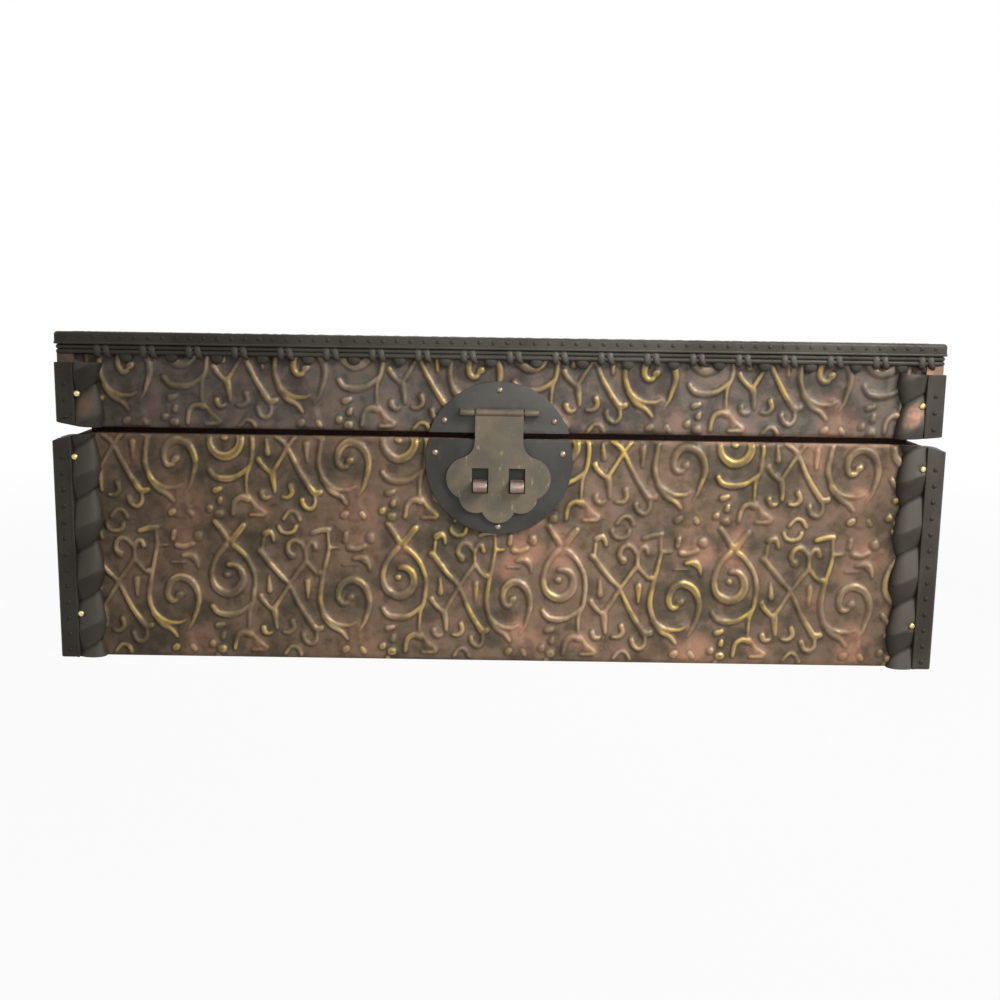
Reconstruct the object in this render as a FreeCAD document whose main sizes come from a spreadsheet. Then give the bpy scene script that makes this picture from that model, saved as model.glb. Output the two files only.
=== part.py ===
"""A flat-lidded keepsake chest: a board box covered in embossed skins and edged with moulded trims.

Millimetres. +X is to the right seen from the front, +Y runs to the back and +Z is up.
The origin is the middle of the underside. The lid turns on two stop hinges set in the seam at the
back, and a scalloped hasp on the lid's round plate drops over two staples on the base's plate.
"""
import FreeCAD
import Part
import Sketcher
import math
import os
import re

Vector = FreeCAD.Vector
Rotation = FreeCAD.Rotation
Placement = FreeCAD.Placement

# Driving sizes, one cell each.
SIZES = {
    # Boards, skins and lining
    "base_width": 391.0,  # over the base's boards, left to right
    "base_depth": 271.0,  # over the base's boards, front to back
    "base_height": 103.0,  # underside to the base's rim
    "wall": 9.0,  # thickness of the upright boards
    "corner_lip": 4.0,  # what the end rabbets leave of the front and back boards
    "floor_thick": 5.0,
    "floor_rabbet": 4.0,  # how far the floor enters the walls
    "skin": 2.0,  # embossed skin, ground and relief together
    "card": 1.2,  # lining card
    "seam_gap": 2.6,  # between the base's rim and the lid's
    "rest_gap": 0.2,  # left between the lid and the lining that it closes on
    "lid_inset": 1.6,  # how far the lid's boards stand inside the base's
    "rim_height": 32.4,  # height of the lid's upright boards
    "top_thick": 6.0,  # the lid's top board
    # Corner trims
    "band_width": 9.0,  # flat band, from the outer corner
    "band_thick": 2.5,
    "rope_width": 12.2,  # half-round rope beside the band
    "rope_rise": 4.0,
    "rope_valley": 0.8,  # trim left under the groove between band and rope
    "trim_corner_radius": 2.2,
    "trim_gap": 0.8,  # between a lid corner trim and the top trim above it
    # Trims round the lid's top edge
    "top_band_height": 5.5,
    "top_band_thick": 2.4,
    "top_leg_width": 12.0,
    "top_leg_thick": 2.0,
    "top_edge_radius": 1.5,
    "reed_height": 7.3,  # reeds and their scalloped edge, below the band
    "reed_thick": 1.2,
    # Tacks in the corner trims
    "tack_head_radius": 1.55,
    "tack_head_rise": 1.1,
    "tack_shank_radius": 0.7,
    "tack_length": 9.0,
    "tack_point": 1.5,
    "tack_inset": 10.4,  # from the trim's outer face
    "tack_upper_drop": 10.5,  # upper base tack below the rim
    "tack_lower_height": 20.5,  # lower base tack above the underside
    "tack_lid_height": 15.0,  # lid tack above the lid's lower edge
    # Lock plates and their nails
    "plate_radius": 33.0,
    "plate_cut": 10.0,  # the seam passes this far above the disc's centre
    "plate_thick": 1.2,
    "nail_head_radius": 1.4,
    "nail_head_rise": 0.8,
    "nail_shank_radius": 0.6,
    "nail_length": 7.0,
    "nail_point": 1.2,
    "upper_nail_spread": 24.5,  # the lid plate's side nails, from the middle
    "upper_nail_height": 5.5,  # above the lid's lower edge
    "upper_nail_top": 19.2,
    "lower_nail_spread": 28.6,  # the base plate's side nails, from the middle
    "lower_nail_drop": 6.3,  # below the base's rim
    "lower_nail_bottom": 39.6,
    # Hasp and its pivot
    "hasp_axis_height": 9.2,  # pivot above the lid's lower edge
    "hasp_thick": 1.2,
    "knuckle_radius": 1.7,
    "knuckle_gap": 0.25,  # between the hasp's knuckle and the plate behind it
    "hasp_pin_radius": 0.9,
    "hasp_pin_length": 35.0,
    "ear_gap": 0.35,  # between the hasp's knuckle and the plate's ears
    "neck_width": 21.5,
    "flare_radius": 7.65,  # hollow curve from the neck into the side lobes
    "side_lobe_offset": 13.8,
    "side_lobe_drop": 29.4,  # below the pivot
    "side_lobe_radius": 9.6,
    "low_lobe_offset": 10.0,
    "low_lobe_drop": 37.4,
    "low_lobe_radius": 7.65,
    "tip_lobe_drop": 41.9,
    "tip_lobe_radius": 7.65,
    "slot_pitch": 16.5,
    "slot_width": 7.4,
    "slot_height": 11.4,
    "slot_drop": 30.4,  # slot's middle below the pivot
    # Staples
    "staple_width": 6.2,
    "staple_height": 5.4,
    "staple_strap": 1.0,
    "staple_reach": 7.7,  # from the plate's face to the nose
    "staple_prong": 8.0,  # driven in behind the plate's face
    "staple_drop": 20.9,  # staple's middle below the base's rim
    # Stop hinges
    "hinge_inset": 75.5,  # leaf's middle from the base's end
    "hinge_reach": 5.0,  # axis behind the base's skin
    "leaf_length": 38.0,
    "leaf_thick": 1.2,
    "leaf_setback": 0.5,  # leaf's inner edge from the inside of the back board
    "barrel_radius": 2.6,
    "barrel_gap": 0.25,  # round and between the knuckles
    "hinge_pin_radius": 1.2,
    "stop_half_angle": 51.0,  # degrees, each stop lip from level
    "lip_reach": 6.0,
    "lip_thick": 1.2,
    "screw_spread": 24.0,
    "screw_setback": 12.0,  # screws in front of the axis
    "screw_head_radius": 2.2,
    "screw_shank_radius": 1.0,
    "screw_length": 9.0,
    "screw_point": 2.0,
    # Clearances
    "running_fit": 0.05,  # radial, pins in their bores and screws in their holes
    "overrun": 1.0,  # how far cutters pass the faces they cut
}

# Places worked out from the cells, as expressions.
BASE_X = "(base_width / 2)"
BASE_Y = "(base_depth / 2)"
LID_X = f"({BASE_X} - lid_inset)"
LID_Y = f"({BASE_Y} - lid_inset)"
LID_LOW = "(base_height + seam_gap)"
RIM_TOP = f"({LID_LOW} + rim_height)"
LID_TOP = f"({RIM_TOP} + top_thick)"
SKIN_TOP = f"({LID_TOP} + skin)"
TRIM_LEG = "(band_width - band_thick + rope_width)"
ROPE_RADIUS = "((rope_width ^ 2 / 4 + rope_rise ^ 2) / (2 * rope_rise))"
TOP_TRIM_LOW = f"({SKIN_TOP} + top_leg_thick - top_band_height - reed_height)"
BASE_PLATE_FACE = f"({BASE_Y} + skin + plate_thick)"
LID_PLATE_FACE = f"({LID_Y} + skin + plate_thick)"
HASP_Y = f"(-{LID_PLATE_FACE} - knuckle_radius - knuckle_gap)"
HASP_Z = f"({LID_LOW} + hasp_axis_height)"
HASP_FRONT = f"({HASP_Y} - knuckle_radius)"
HINGE_Y = f"({BASE_Y} + skin + hinge_reach)"
HINGE_Z = "(base_height + seam_gap / 2)"

TURN_TO = {"x": Rotation(Vector(0, 1, 0), 90), "y": Rotation(Vector(1, 0, 0), -90)}
FACING = {
    "front": Rotation(Vector(1, 0, 0), 90),
    "back": Rotation(Vector(1, 0, 0), -90),
    "left": Rotation(Vector(0, 1, 0), -90),
    "right": Rotation(Vector(0, 1, 0), 90),
    "up": Rotation(),
    "down": Rotation(Vector(1, 0, 0), 180),
}

doc = FreeCAD.newDocument("keepsake_chest")
pieces = []


def make_sheet():
    """The sheet that drives the model: a name and a plain number on each row."""
    cells_sheet = doc.addObject("Spreadsheet::Sheet", "Sizes")
    for row, (name, value) in enumerate(SIZES.items(), start=1):
        cells_sheet.set(f"A{row}", name)
        cells_sheet.set(f"B{row}", str(value))
        cells_sheet.setAlias(f"B{row}", name)
    doc.recompute()
    return cells_sheet


def cells(expression):
    """Writes each size's name in an expression as a reference to its cell."""
    return re.sub(r"[a-z_]+", lambda word: f"Sizes.{word[0]}" if word[0] in SIZES else word[0], expression)


def bind(item, prop, expression):
    item.setExpression(prop, cells(expression))


def measure(expression):
    """An expression's present value."""
    return float(sheet.evalExpression(cells(expression)))


def keep(item):
    """Marks a finished piece, whose label names its file."""
    pieces.append(item)
    return item


def place(item, x, y, z):
    for axis, expression in zip("xyz", (x, y, z)):
        bind(item, f"Placement.Base.{axis}", expression)
    return item


def span(side, near, far):
    """The stretch between two distances from the middle, on the positive or the negative side."""
    if side > 0:
        return near, far
    return f"-({far})", f"-({near})"


def block(name, xs, ys, zs):
    """A block between two places along each axis."""
    item = doc.addObject("Part::Box", name)
    for side, (low, high) in zip(("Length", "Width", "Height"), (xs, ys, zs)):
        bind(item, side, f"({high}) - ({low})")
    return place(item, xs[0], ys[0], zs[0])


def rod(name, along, start, radius, length):
    """A cylinder along X or Y from its first end."""
    item = doc.addObject("Part::Cylinder", name)
    item.Placement = Placement(Vector(), TURN_TO[along])
    bind(item, "Radius", radius)
    bind(item, "Height", length)
    return place(item, *start)


def join(name, *items):
    item = doc.addObject("Part::MultiFuse", name)
    item.Shapes = list(items)
    item.Refine = True
    return item


def cut(name, blank, *tools):
    item = doc.addObject("Part::Cut", name)
    item.Base = blank
    item.Tool = tools[0] if len(tools) == 1 else join(f"{name}_cutters", *tools)
    item.Refine = True
    return item


def overlap(name, first, second):
    item = doc.addObject("Part::Common", name)
    item.Base = first
    item.Tool = second
    return item


def sketch_on(body, role, name):
    """A sketch on one of the body's own origin planes."""
    sketch = body.newObject("Sketcher::SketchObject", name)
    plane = next(feature for feature in body.Origin.OriginFeatures if feature.Role == role)
    sketch.AttachmentSupport = [(plane, "")]
    sketch.MapMode = "FlatFace"
    return sketch


def outline(sketch, corners):
    """Draws a closed loop through the corners, in order.

    A corner is its two places as expressions. A third item is the radius of an arc that leaves the
    corner and turns to the right on its way to the next one.
    """
    first = sketch.GeometryCount
    spots = [Vector(measure(corner[0]), measure(corner[1]), 0) for corner in corners]
    starts = []
    for index, corner in enumerate(corners):
        here = spots[index]
        there = spots[(index + 1) % len(spots)]
        if len(corner) == 2:
            sketch.addGeometry(Part.LineSegment(here, there), False)
            starts.append(1)
            continue
        run = there - here
        radius = measure(corner[2])
        height = math.sqrt(max(radius ** 2 - run.Length ** 2 / 4, 0))
        centre = (here + there) / 2 + Vector(run.y, -run.x, 0).normalize() * height
        circle = Part.Circle(centre, Vector(0, 0, 1), radius)
        angles = [math.atan2(spot.y - centre.y, spot.x - centre.x) for spot in (there, here)]
        sketch.addGeometry(Part.ArcOfCircle(circle, *angles), False)
        starts.append(2)
    for index, corner in enumerate(corners):
        line = first + index
        after = (index + 1) % len(corners)
        joined = Sketcher.Constraint("Coincident", line, 3 - starts[index], first + after, starts[after])
        sketch.addConstraint(joined)
        values = [("DistanceX", spots[index].x, corner[0]), ("DistanceY", spots[index].y, corner[1])]
        for kind, value, expression in values:
            number = sketch.addConstraint(Sketcher.Constraint(kind, -1, 1, line, starts[index], value))
            bind(sketch, f"Constraints[{number}]", expression)
        if len(corner) == 3:
            number = sketch.addConstraint(Sketcher.Constraint("Radius", line, measure(corner[2])))
            bind(sketch, f"Constraints[{number}]", corner[2])


def pad(body, sketch, length, both_ways=False):
    feature = body.newObject("PartDesign::Pad", f"{body.Name}_pad")
    feature.Profile = sketch
    bind(feature, "Length", length)
    if both_ways:
        feature.SideType = "Symmetric"
    return feature


def long_board(name, side, half_x, half_y, zs, *cutters):
    """A front or back board, rabbeted at both ends for the side boards."""
    blank = block(f"{name}_blank", (f"-{half_x}", half_x), span(side, f"{half_y} - wall", half_y), zs)
    rabbet = span(side, f"{half_y} - wall - overrun", f"{half_y} - corner_lip")
    ends = []
    for end in (-1, 1):
        xs = span(end, f"{half_x} - wall", f"{half_x} + overrun")
        ends.append(block(f"{name}_rabbet", xs, rabbet, (f"{zs[0]} - overrun", f"{zs[1]} + overrun")))
    keep(cut(name, blank, *ends, *cutters))


def side_board(name, side, half_x, half_y, zs, *cutters):
    """A left or right board, let into the front and back boards."""
    ys = (f"-({half_y} - corner_lip)", f"{half_y} - corner_lip")
    xs = span(side, f"{half_x} - wall", half_x)
    if not cutters:
        return keep(block(name, xs, ys, zs))
    blank = block(f"{name}_blank", xs, ys, zs)
    return keep(cut(name, blank, *cutters))


def base_boards():
    """Four walls on a floor that is let into them."""
    inner = [f"({half} - wall + floor_rabbet)" for half in (BASE_X, BASE_Y)]
    across = [(f"-{half}", half) for half in inner]
    keep(block("base_floor_board", *across, ("0", "floor_thick")))
    room = block("base_floor_room", *across, ("-overrun", "floor_thick"))
    zs = ("0", "base_height")
    for side, name in ((-1, "front"), (1, "back")):
        long_board(f"base_{name}_board", side, BASE_X, BASE_Y, zs, room)
    for side, name in ((-1, "left"), (1, "right")):
        side_board(f"base_{name}_board", side, BASE_X, BASE_Y, zs, room)


def lid_boards():
    """Four rim boards under a top board that covers them."""
    zs = (LID_LOW, RIM_TOP)
    for side, name in ((-1, "front"), (1, "back")):
        long_board(f"lid_{name}_board", side, LID_X, LID_Y, zs)
    for side, name in ((-1, "left"), (1, "right")):
        side_board(f"lid_{name}_board", side, LID_X, LID_Y, zs)
    keep(block("lid_top_board", (f"-{LID_X}", LID_X), (f"-{LID_Y}", LID_Y), (RIM_TOP, LID_TOP)))


def wall_skins(part, half_x, half_y, zs):
    """Embossed skins on four walls: the front and back ones cover the edges of the others."""
    for side, name in ((-1, "front"), (1, "back")):
        xs = (f"-({half_x} + skin)", f"{half_x} + skin")
        keep(block(f"{part}_{name}_skin", xs, span(side, half_y, f"{half_y} + skin"), zs))
    for side, name in ((-1, "left"), (1, "right")):
        ys = (f"-{half_y}", half_y)
        keep(block(f"{part}_{name}_skin", span(side, half_x, f"{half_x} + skin"), ys, zs))


def top_skin():
    xs = (f"-({LID_X} + skin)", f"{LID_X} + skin")
    ys = (f"-({LID_Y} + skin)", f"{LID_Y} + skin")
    keep(block("lid_top_skin", xs, ys, (LID_TOP, SKIN_TOP)))


def wall_cards(part, half_x, half_y, zs):
    """Lining cards inside four walls: the side ones stand between the others."""
    for side, name in ((-1, "front"), (1, "back")):
        xs = (f"-({half_x} - wall)", f"{half_x} - wall")
        ys = span(side, f"{half_y} - wall - card", f"{half_y} - wall")
        keep(block(f"{part}_{name}_card", xs, ys, zs))
    for side, name in ((-1, "left"), (1, "right")):
        xs = span(side, f"{half_x} - wall - card", f"{half_x} - wall")
        ys = (f"-({half_y} - wall - card)", f"{half_y} - wall - card")
        keep(block(f"{part}_{name}_card", xs, ys, zs))


def flat_card(name, half_x, half_y, zs):
    xs = (f"-({half_x} - wall)", f"{half_x} - wall")
    ys = (f"-({half_y} - wall)", f"{half_y} - wall")
    keep(block(name, xs, ys, zs))


def linings():
    """The base's wall cards stand up out of it, and the closed lid rests on them."""
    flat_card("base_floor_card", BASE_X, BASE_Y, ("floor_thick", "floor_thick + card"))
    wall_cards("base", BASE_X, BASE_Y, ("floor_thick + card", f"{LID_LOW} - rest_gap"))
    flat_card("lid_top_card", LID_X, LID_Y, (f"{RIM_TOP} - card", RIM_TOP))
    wall_cards("lid", LID_X, LID_Y, (LID_LOW, f"{RIM_TOP} - card"))


def corner_trim(name, quarter_turns, half_x, half_y, zs):
    """An L-shaped moulding: a band round the corner with a half-round rope along each side of it."""
    body = keep(doc.addObject("PartDesign::Body", name))
    sketch = sketch_on(body, "XY_Plane", f"{name}_section")
    band_end = "band_width - band_thick"
    outline(sketch, [
        ("0", "0"),
        (TRIM_LEG, "0", ROPE_RADIUS),
        (band_end, "-rope_valley"),
        (band_end, "-band_thick"),
        ("trim_corner_radius - band_thick", "-band_thick", "trim_corner_radius"),
        ("-band_thick", "trim_corner_radius - band_thick"),
        ("-band_thick", band_end),
        ("-rope_valley", band_end, ROPE_RADIUS),
        ("0", TRIM_LEG),
    ])
    pad(body, sketch, f"{zs[1]} - {zs[0]}")
    body.Placement = Placement(Vector(), Rotation(Vector(0, 0, 1), 90 * quarter_turns))
    place(body, half_x, half_y, zs[0])


def corner_trims():
    corners = {
        "front_left": ("-", "-"),
        "front_right": ("", "-"),
        "back_right": ("", ""),
        "back_left": ("-", ""),
    }
    for turns, (name, (x_sign, y_sign)) in enumerate(corners.items()):
        base = (f"{x_sign}({BASE_X} + skin)", f"{y_sign}({BASE_Y} + skin)")
        corner_trim(f"base_corner_trim_{name}", turns, *base, ("0", "base_height"))
        lid = (f"{x_sign}({LID_X} + skin)", f"{y_sign}({LID_Y} + skin)")
        corner_trim(f"lid_corner_trim_{name}", turns, *lid, (LID_LOW, f"{TOP_TRIM_LOW} - trim_gap"))


def top_trim(name, quarter_turns, x, y, half_run):
    """A moulding over the lid's top edge, mitred at both ends."""
    body = keep(doc.addObject("PartDesign::Body", name))
    sketch = sketch_on(body, "YZ_Plane", f"{name}_section")
    band_low = "top_leg_thick - top_band_height"
    reed_low = f"{band_low} - reed_height"
    outline(sketch, [
        ("0", "0"),
        ("0", reed_low),
        ("-reed_thick", reed_low),
        ("-reed_thick", band_low),
        ("-top_band_thick", band_low),
        ("-top_band_thick", "top_leg_thick - top_edge_radius", "top_edge_radius"),
        ("top_edge_radius - top_band_thick", "top_leg_thick"),
        ("top_leg_width", "top_leg_thick"),
        ("top_leg_width", "0"),
    ])
    pad(body, sketch, f"2 * ({half_run} + top_band_thick)", both_ways=True)
    mitres = sketch_on(body, "XY_Plane", f"{name}_mitres")
    far = f"({half_run} + top_band_thick + overrun)"
    near = f"({half_run} - top_leg_width - overrun)"
    out = "-(top_band_thick + overrun)"
    inside = "top_leg_width + overrun"
    outline(mitres, [(far, out), (far, inside), (near, inside)])
    outline(mitres, [(f"-{far}", out), (f"-{near}", inside), (f"-{far}", inside)])
    pocket = body.newObject("PartDesign::Pocket", f"{name}_mitre_cut")
    pocket.Profile = mitres
    pocket.Type = "ThroughAll"
    pocket.SideType = "Symmetric"
    body.Placement = Placement(Vector(), Rotation(Vector(0, 0, 1), 90 * quarter_turns))
    place(body, x, y, SKIN_TOP)


def top_trims():
    half_x = f"({LID_X} + skin)"
    half_y = f"({LID_Y} + skin)"
    top_trim("lid_top_trim_front", 0, "0", f"-{half_y}", half_x)
    top_trim("lid_top_trim_right", 1, half_x, "0", half_y)
    top_trim("lid_top_trim_back", 2, "0", half_y, half_x)
    top_trim("lid_top_trim_left", 3, f"-{half_x}", "0", half_y)


def turned(name, corners):
    """A body turned about Z from half its section."""
    body = doc.addObject("PartDesign::Body", name)
    sketch = sketch_on(body, "XZ_Plane", f"{name}_section")
    outline(sketch, corners)
    feature = body.newObject("PartDesign::Revolution", f"{name}_turning")
    feature.Profile = sketch
    feature.ReferenceAxis = (sketch, ["V_Axis"])
    return body


def domed_nail(name):
    """A nail or tack with a domed head, its underside at zero."""
    dome = f"(({name}_head_radius ^ 2 + {name}_head_rise ^ 2) / (2 * {name}_head_rise))"
    return turned(name, [
        ("0", f"{name}_head_rise", dome),
        (f"{name}_head_radius", "0"),
        (f"{name}_shank_radius", "0"),
        (f"{name}_shank_radius", f"{name}_point - {name}_length"),
        ("0", f"-{name}_length"),
    ])


def countersunk_screw():
    """A hinge screw whose flat head is at zero and as deep as the leaf."""
    return turned("screw", [
        ("0", "0"),
        ("screw_head_radius", "0"),
        ("screw_shank_radius", "-leaf_thick"),
        ("screw_shank_radius", "screw_point - screw_length"),
        ("0", "-screw_length"),
    ])


def group(name, fastener, spots):
    """Copies of one fastener, each at a spot and with its head facing one way."""
    copies = []
    for x, y, z, facing in spots:
        copy = fastener.Shape.copy()
        copy.Placement = Placement(Vector(measure(x), measure(y), measure(z)), FACING[facing])
        copies.append(copy)
    item = doc.addObject("Part::Feature", name)
    item.Shape = Part.makeCompound(copies)
    keep(item)


def tack_spots(half_x, half_y, heights):
    """Tacks beside the ropes, on both sides of each corner."""
    spots = []
    out_x = f"({half_x} + skin + band_thick)"
    out_y = f"({half_y} + skin + band_thick)"
    for sign in ("-", ""):
        for height in heights:
            for face, other in (("front", "-"), ("back", "")):
                spots.append((f"{sign}({out_x} - tack_inset)", f"{other}{out_y}", height, face))
            for face, other in (("left", "-"), ("right", "")):
                spots.append((f"{other}{out_x}", f"{sign}({out_y} - tack_inset)", height, face))
    return spots


def plate_nails(name, nail, face, spread, side_height, end_height):
    spots = [(f"-{spread}", f"-{face}", side_height, "front")]
    spots.append((spread, f"-{face}", side_height, "front"))
    spots.append(("0", f"-{face}", end_height, "front"))
    group(name, nail, spots)


def half_plate(name, face, centre_z, zs):
    """A round plate with one straight edge along the seam."""
    disc = rod(f"{name}_disc", "y", ("0", f"-{face}", centre_z), "plate_radius", "plate_thick")
    xs = ("-plate_radius", "plate_radius")
    room = block(f"{name}_room", xs, (f"-{face}", f"plate_thick - {face}"), zs)
    return overlap(name, disc, room)


def lock_plates():
    """The lower half on the base, and the upper half with two ears for the hasp's pin."""
    low_centre = "(base_height - plate_cut)"
    zs = (f"{low_centre} - plate_radius", "base_height")
    keep(half_plate("lock_lower_plate", BASE_PLATE_FACE, low_centre, zs))
    high_centre = f"({LID_LOW} - plate_cut)"
    zs = (LID_LOW, f"{high_centre} + plate_radius")
    plate = half_plate("lock_upper_blank", LID_PLATE_FACE, high_centre, zs)
    ears = []
    inner = "neck_width / 2 + ear_gap"
    length = f"hasp_pin_length / 2 - ({inner})"
    for side in (-1, 1):
        xs = span(side, inner, "hasp_pin_length / 2")
        ears.append(rod("lock_ear", "x", (xs[0], HASP_Y, HASP_Z), "knuckle_radius", length))
        zs = (f"{HASP_Z} - knuckle_radius", f"{HASP_Z} + knuckle_radius")
        ears.append(block("lock_ear_web", xs, (HASP_Y, f"plate_thick - {LID_PLATE_FACE}"), zs))
    bore = rod("lock_ear_bore", "x", ("-hasp_pin_length / 2 - overrun", HASP_Y, HASP_Z),
               "hasp_pin_radius + running_fit", "hasp_pin_length + 2 * overrun")
    keep(cut("lock_upper_plate", join("lock_upper_eared", plate, *ears), bore))


def staples():
    """Two strap loops driven through the lower plate, one for each slot of the hasp."""
    middle = "(base_height - staple_drop)"
    nose = f"(staple_height / 2 - {BASE_PLATE_FACE} - staple_reach)"
    prong_end = f"(staple_prong - {BASE_PLATE_FACE})"
    for side, name in ((-1, "lock_left_staple"), (1, "lock_right_staple")):
        left = f"({side} * slot_pitch / 2 - staple_width / 2)"
        solids = []
        for label, half, past in (("outer", "staple_height / 2", "0"),
                                  ("inner", "(staple_height / 2 - staple_strap)", "overrun")):
            xs = (f"{left} - {past}", f"{left} + staple_width + {past}")
            zs = (f"{middle} - {half}", f"{middle} + {half}")
            legs = block(f"{name}_{label}_legs", xs, (nose, f"{prong_end} + {past}"), zs)
            length = f"staple_width + 2 * {past}"
            bend = rod(f"{name}_{label}_bend", "x", (xs[0], nose, middle), half, length)
            solids.append(join(f"{name}_{label}", legs, bend))
        keep(cut(name, *solids))


def hasp():
    """A flat hasp: a neck on the pin's knuckle, scalloped into five lobes round two slots."""
    ys = (HASP_FRONT, f"{HASP_FRONT} + hasp_thick")
    half_neck = "neck_width / 2"
    neck_z = (f"{HASP_Z} - tip_lobe_drop", HASP_Z)
    solids = [block("hasp_neck", (f"-{half_neck}", half_neck), ys, neck_z)]
    knuckle_end = (f"-{half_neck}", HASP_Y, HASP_Z)
    solids.append(rod("hasp_knuckle", "x", knuckle_end, "knuckle_radius", "neck_width"))
    flare_x = f"({half_neck} + flare_radius)"
    reach = f"((flare_radius + side_lobe_radius) ^ 2 - ({flare_x} - side_lobe_offset) ^ 2)"
    flare_z = f"({HASP_Z} - side_lobe_drop + sqrt({reach}))"
    lobe_share = "side_lobe_radius / (side_lobe_radius + flare_radius)"
    tangent_x = f"(side_lobe_offset + ({flare_x} - side_lobe_offset) * {lobe_share})"
    for side in (-1, 1):
        for lobe in ("side_lobe", "low_lobe"):
            centre = (f"{side} * {lobe}_offset", HASP_FRONT, f"{HASP_Z} - {lobe}_drop")
            solids.append(rod(f"hasp_{lobe}", "y", centre, f"{lobe}_radius", "hasp_thick"))
        web_z = (f"{HASP_Z} - side_lobe_drop", flare_z)
        web = block("hasp_flare_web", span(side, half_neck, tangent_x), ys, web_z)
        start = (f"{side} * {flare_x}", f"{HASP_FRONT} - overrun", flare_z)
        hollow = rod("hasp_flare_hollow", "y", start, "flare_radius", "hasp_thick + 2 * overrun")
        solids.append(cut("hasp_flare", web, hollow))
    tip = ("0", HASP_FRONT, f"{HASP_Z} - tip_lobe_drop")
    solids.append(rod("hasp_tip_lobe", "y", tip, "tip_lobe_radius", "hasp_thick"))
    cutters = [rod("hasp_bore", "x", (f"-{half_neck} - overrun", HASP_Y, HASP_Z),
                   "hasp_pin_radius + running_fit", "neck_width + 2 * overrun")]
    through = (f"{ys[0]} - overrun", f"{ys[1]} + overrun")
    zs = (f"{HASP_Z} - slot_drop - slot_height / 2", f"{HASP_Z} - slot_drop + slot_height / 2")
    for side in (-1, 1):
        xs = (f"{side} * slot_pitch / 2 - slot_width / 2", f"{side} * slot_pitch / 2 + slot_width / 2")
        cutters.append(block("hasp_slot", xs, through, zs))
    keep(cut("hasp", join("hasp_blank", *solids), *cutters))
    pin = ("-hasp_pin_length / 2", HASP_Y, HASP_Z)
    keep(rod("hasp_pin", "x", pin, "hasp_pin_radius", "hasp_pin_length"))


def hinge_lip(name, below):
    """A stop lip that leaves the barrel at a slant, below or above level."""
    body = doc.addObject("PartDesign::Body", name)
    sketch = sketch_on(body, "YZ_Plane", f"{name}_section")
    sign = "-" if below else ""
    tip = ("lip_reach * cos(stop_half_angle)", f"{sign}lip_reach * sin(stop_half_angle)")
    back = ("-lip_thick * sin(stop_half_angle)", f"{sign}lip_thick * cos(stop_half_angle)")
    outline(sketch, [("0", "0"), tip, (f"{tip[0]} + {back[0]}", f"{tip[1]} + {back[1]}"), back])
    pad(body, sketch, "leaf_length", both_ways=True)
    return body


def hinge_leaf(name, centre_x, on_base):
    """A leaf with its share of the knuckles: the base's leaf has the two outer ones."""
    half = "leaf_length / 2"
    left = f"({centre_x} - {half})"
    front = f"({BASE_Y} - wall + leaf_setback)"
    zs = ("base_height", "base_height + leaf_thick")
    if not on_base:
        zs = (f"{LID_LOW} - leaf_thick", LID_LOW)
    plate = block(f"{name}_plate", (left, f"{centre_x} + {half}"), (front, HINGE_Y), zs)
    barrel = rod(f"{name}_barrel", "x", (left, HINGE_Y, HINGE_Z), "barrel_radius", "leaf_length")
    lip = place(hinge_lip(f"{name}_lip", on_base), centre_x, HINGE_Y, HINGE_Z)
    third = "leaf_length / 3"
    room = "barrel_radius + barrel_gap"
    cutters = [rod(f"{name}_bore", "x", (f"{left} - overrun", HINGE_Y, HINGE_Z),
                   "hinge_pin_radius + running_fit", "leaf_length + 2 * overrun")]
    if on_base:
        start = (f"{left} + {third} - barrel_gap", HINGE_Y, HINGE_Z)
        cutters.append(rod(f"{name}_room", "x", start, room, f"{third} + 2 * barrel_gap"))
    else:
        for start in (f"{left} - overrun", f"{left} + 2 * {third} - barrel_gap"):
            length = f"{third} + overrun + barrel_gap"
            cutters.append(rod(f"{name}_room", "x", (start, HINGE_Y, HINGE_Z), room, length))
    for sign in ("-", "+"):
        hole = doc.addObject("Part::Cone", f"{name}_screw_hole")
        wide, narrow = ("Radius2", "Radius1") if on_base else ("Radius1", "Radius2")
        bind(hole, wide, "screw_head_radius + running_fit")
        bind(hole, narrow, "screw_shank_radius + running_fit")
        bind(hole, "Height", "leaf_thick")
        hole_x = f"{centre_x} {sign} screw_spread / 2"
        cutters.append(place(hole, hole_x, f"{HINGE_Y} - screw_setback", zs[0]))
    keep(cut(name, join(f"{name}_blank", plate, barrel, lip), *cutters))


def hinges(screw):
    screw_y = f"{HINGE_Y} - screw_setback"
    spots = []
    for side, name in ((-1, "left"), (1, "right")):
        centre = f"({side} * ({BASE_X} - hinge_inset))"
        hinge_leaf(f"{name}_hinge_base_leaf", centre, True)
        hinge_leaf(f"{name}_hinge_lid_leaf", centre, False)
        start = (f"{centre} - leaf_length / 2", HINGE_Y, HINGE_Z)
        keep(rod(f"{name}_hinge_pin", "x", start, "hinge_pin_radius", "leaf_length"))
        spots.extend(f"{centre} {sign} screw_spread / 2" for sign in ("-", "+"))
    upward = [(x, screw_y, "base_height + leaf_thick", "up") for x in spots]
    group("hinge_base_screws", screw, upward)
    downward = [(x, screw_y, f"{LID_LOW} - leaf_thick", "down") for x in spots]
    group("hinge_lid_screws", screw, downward)


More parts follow.
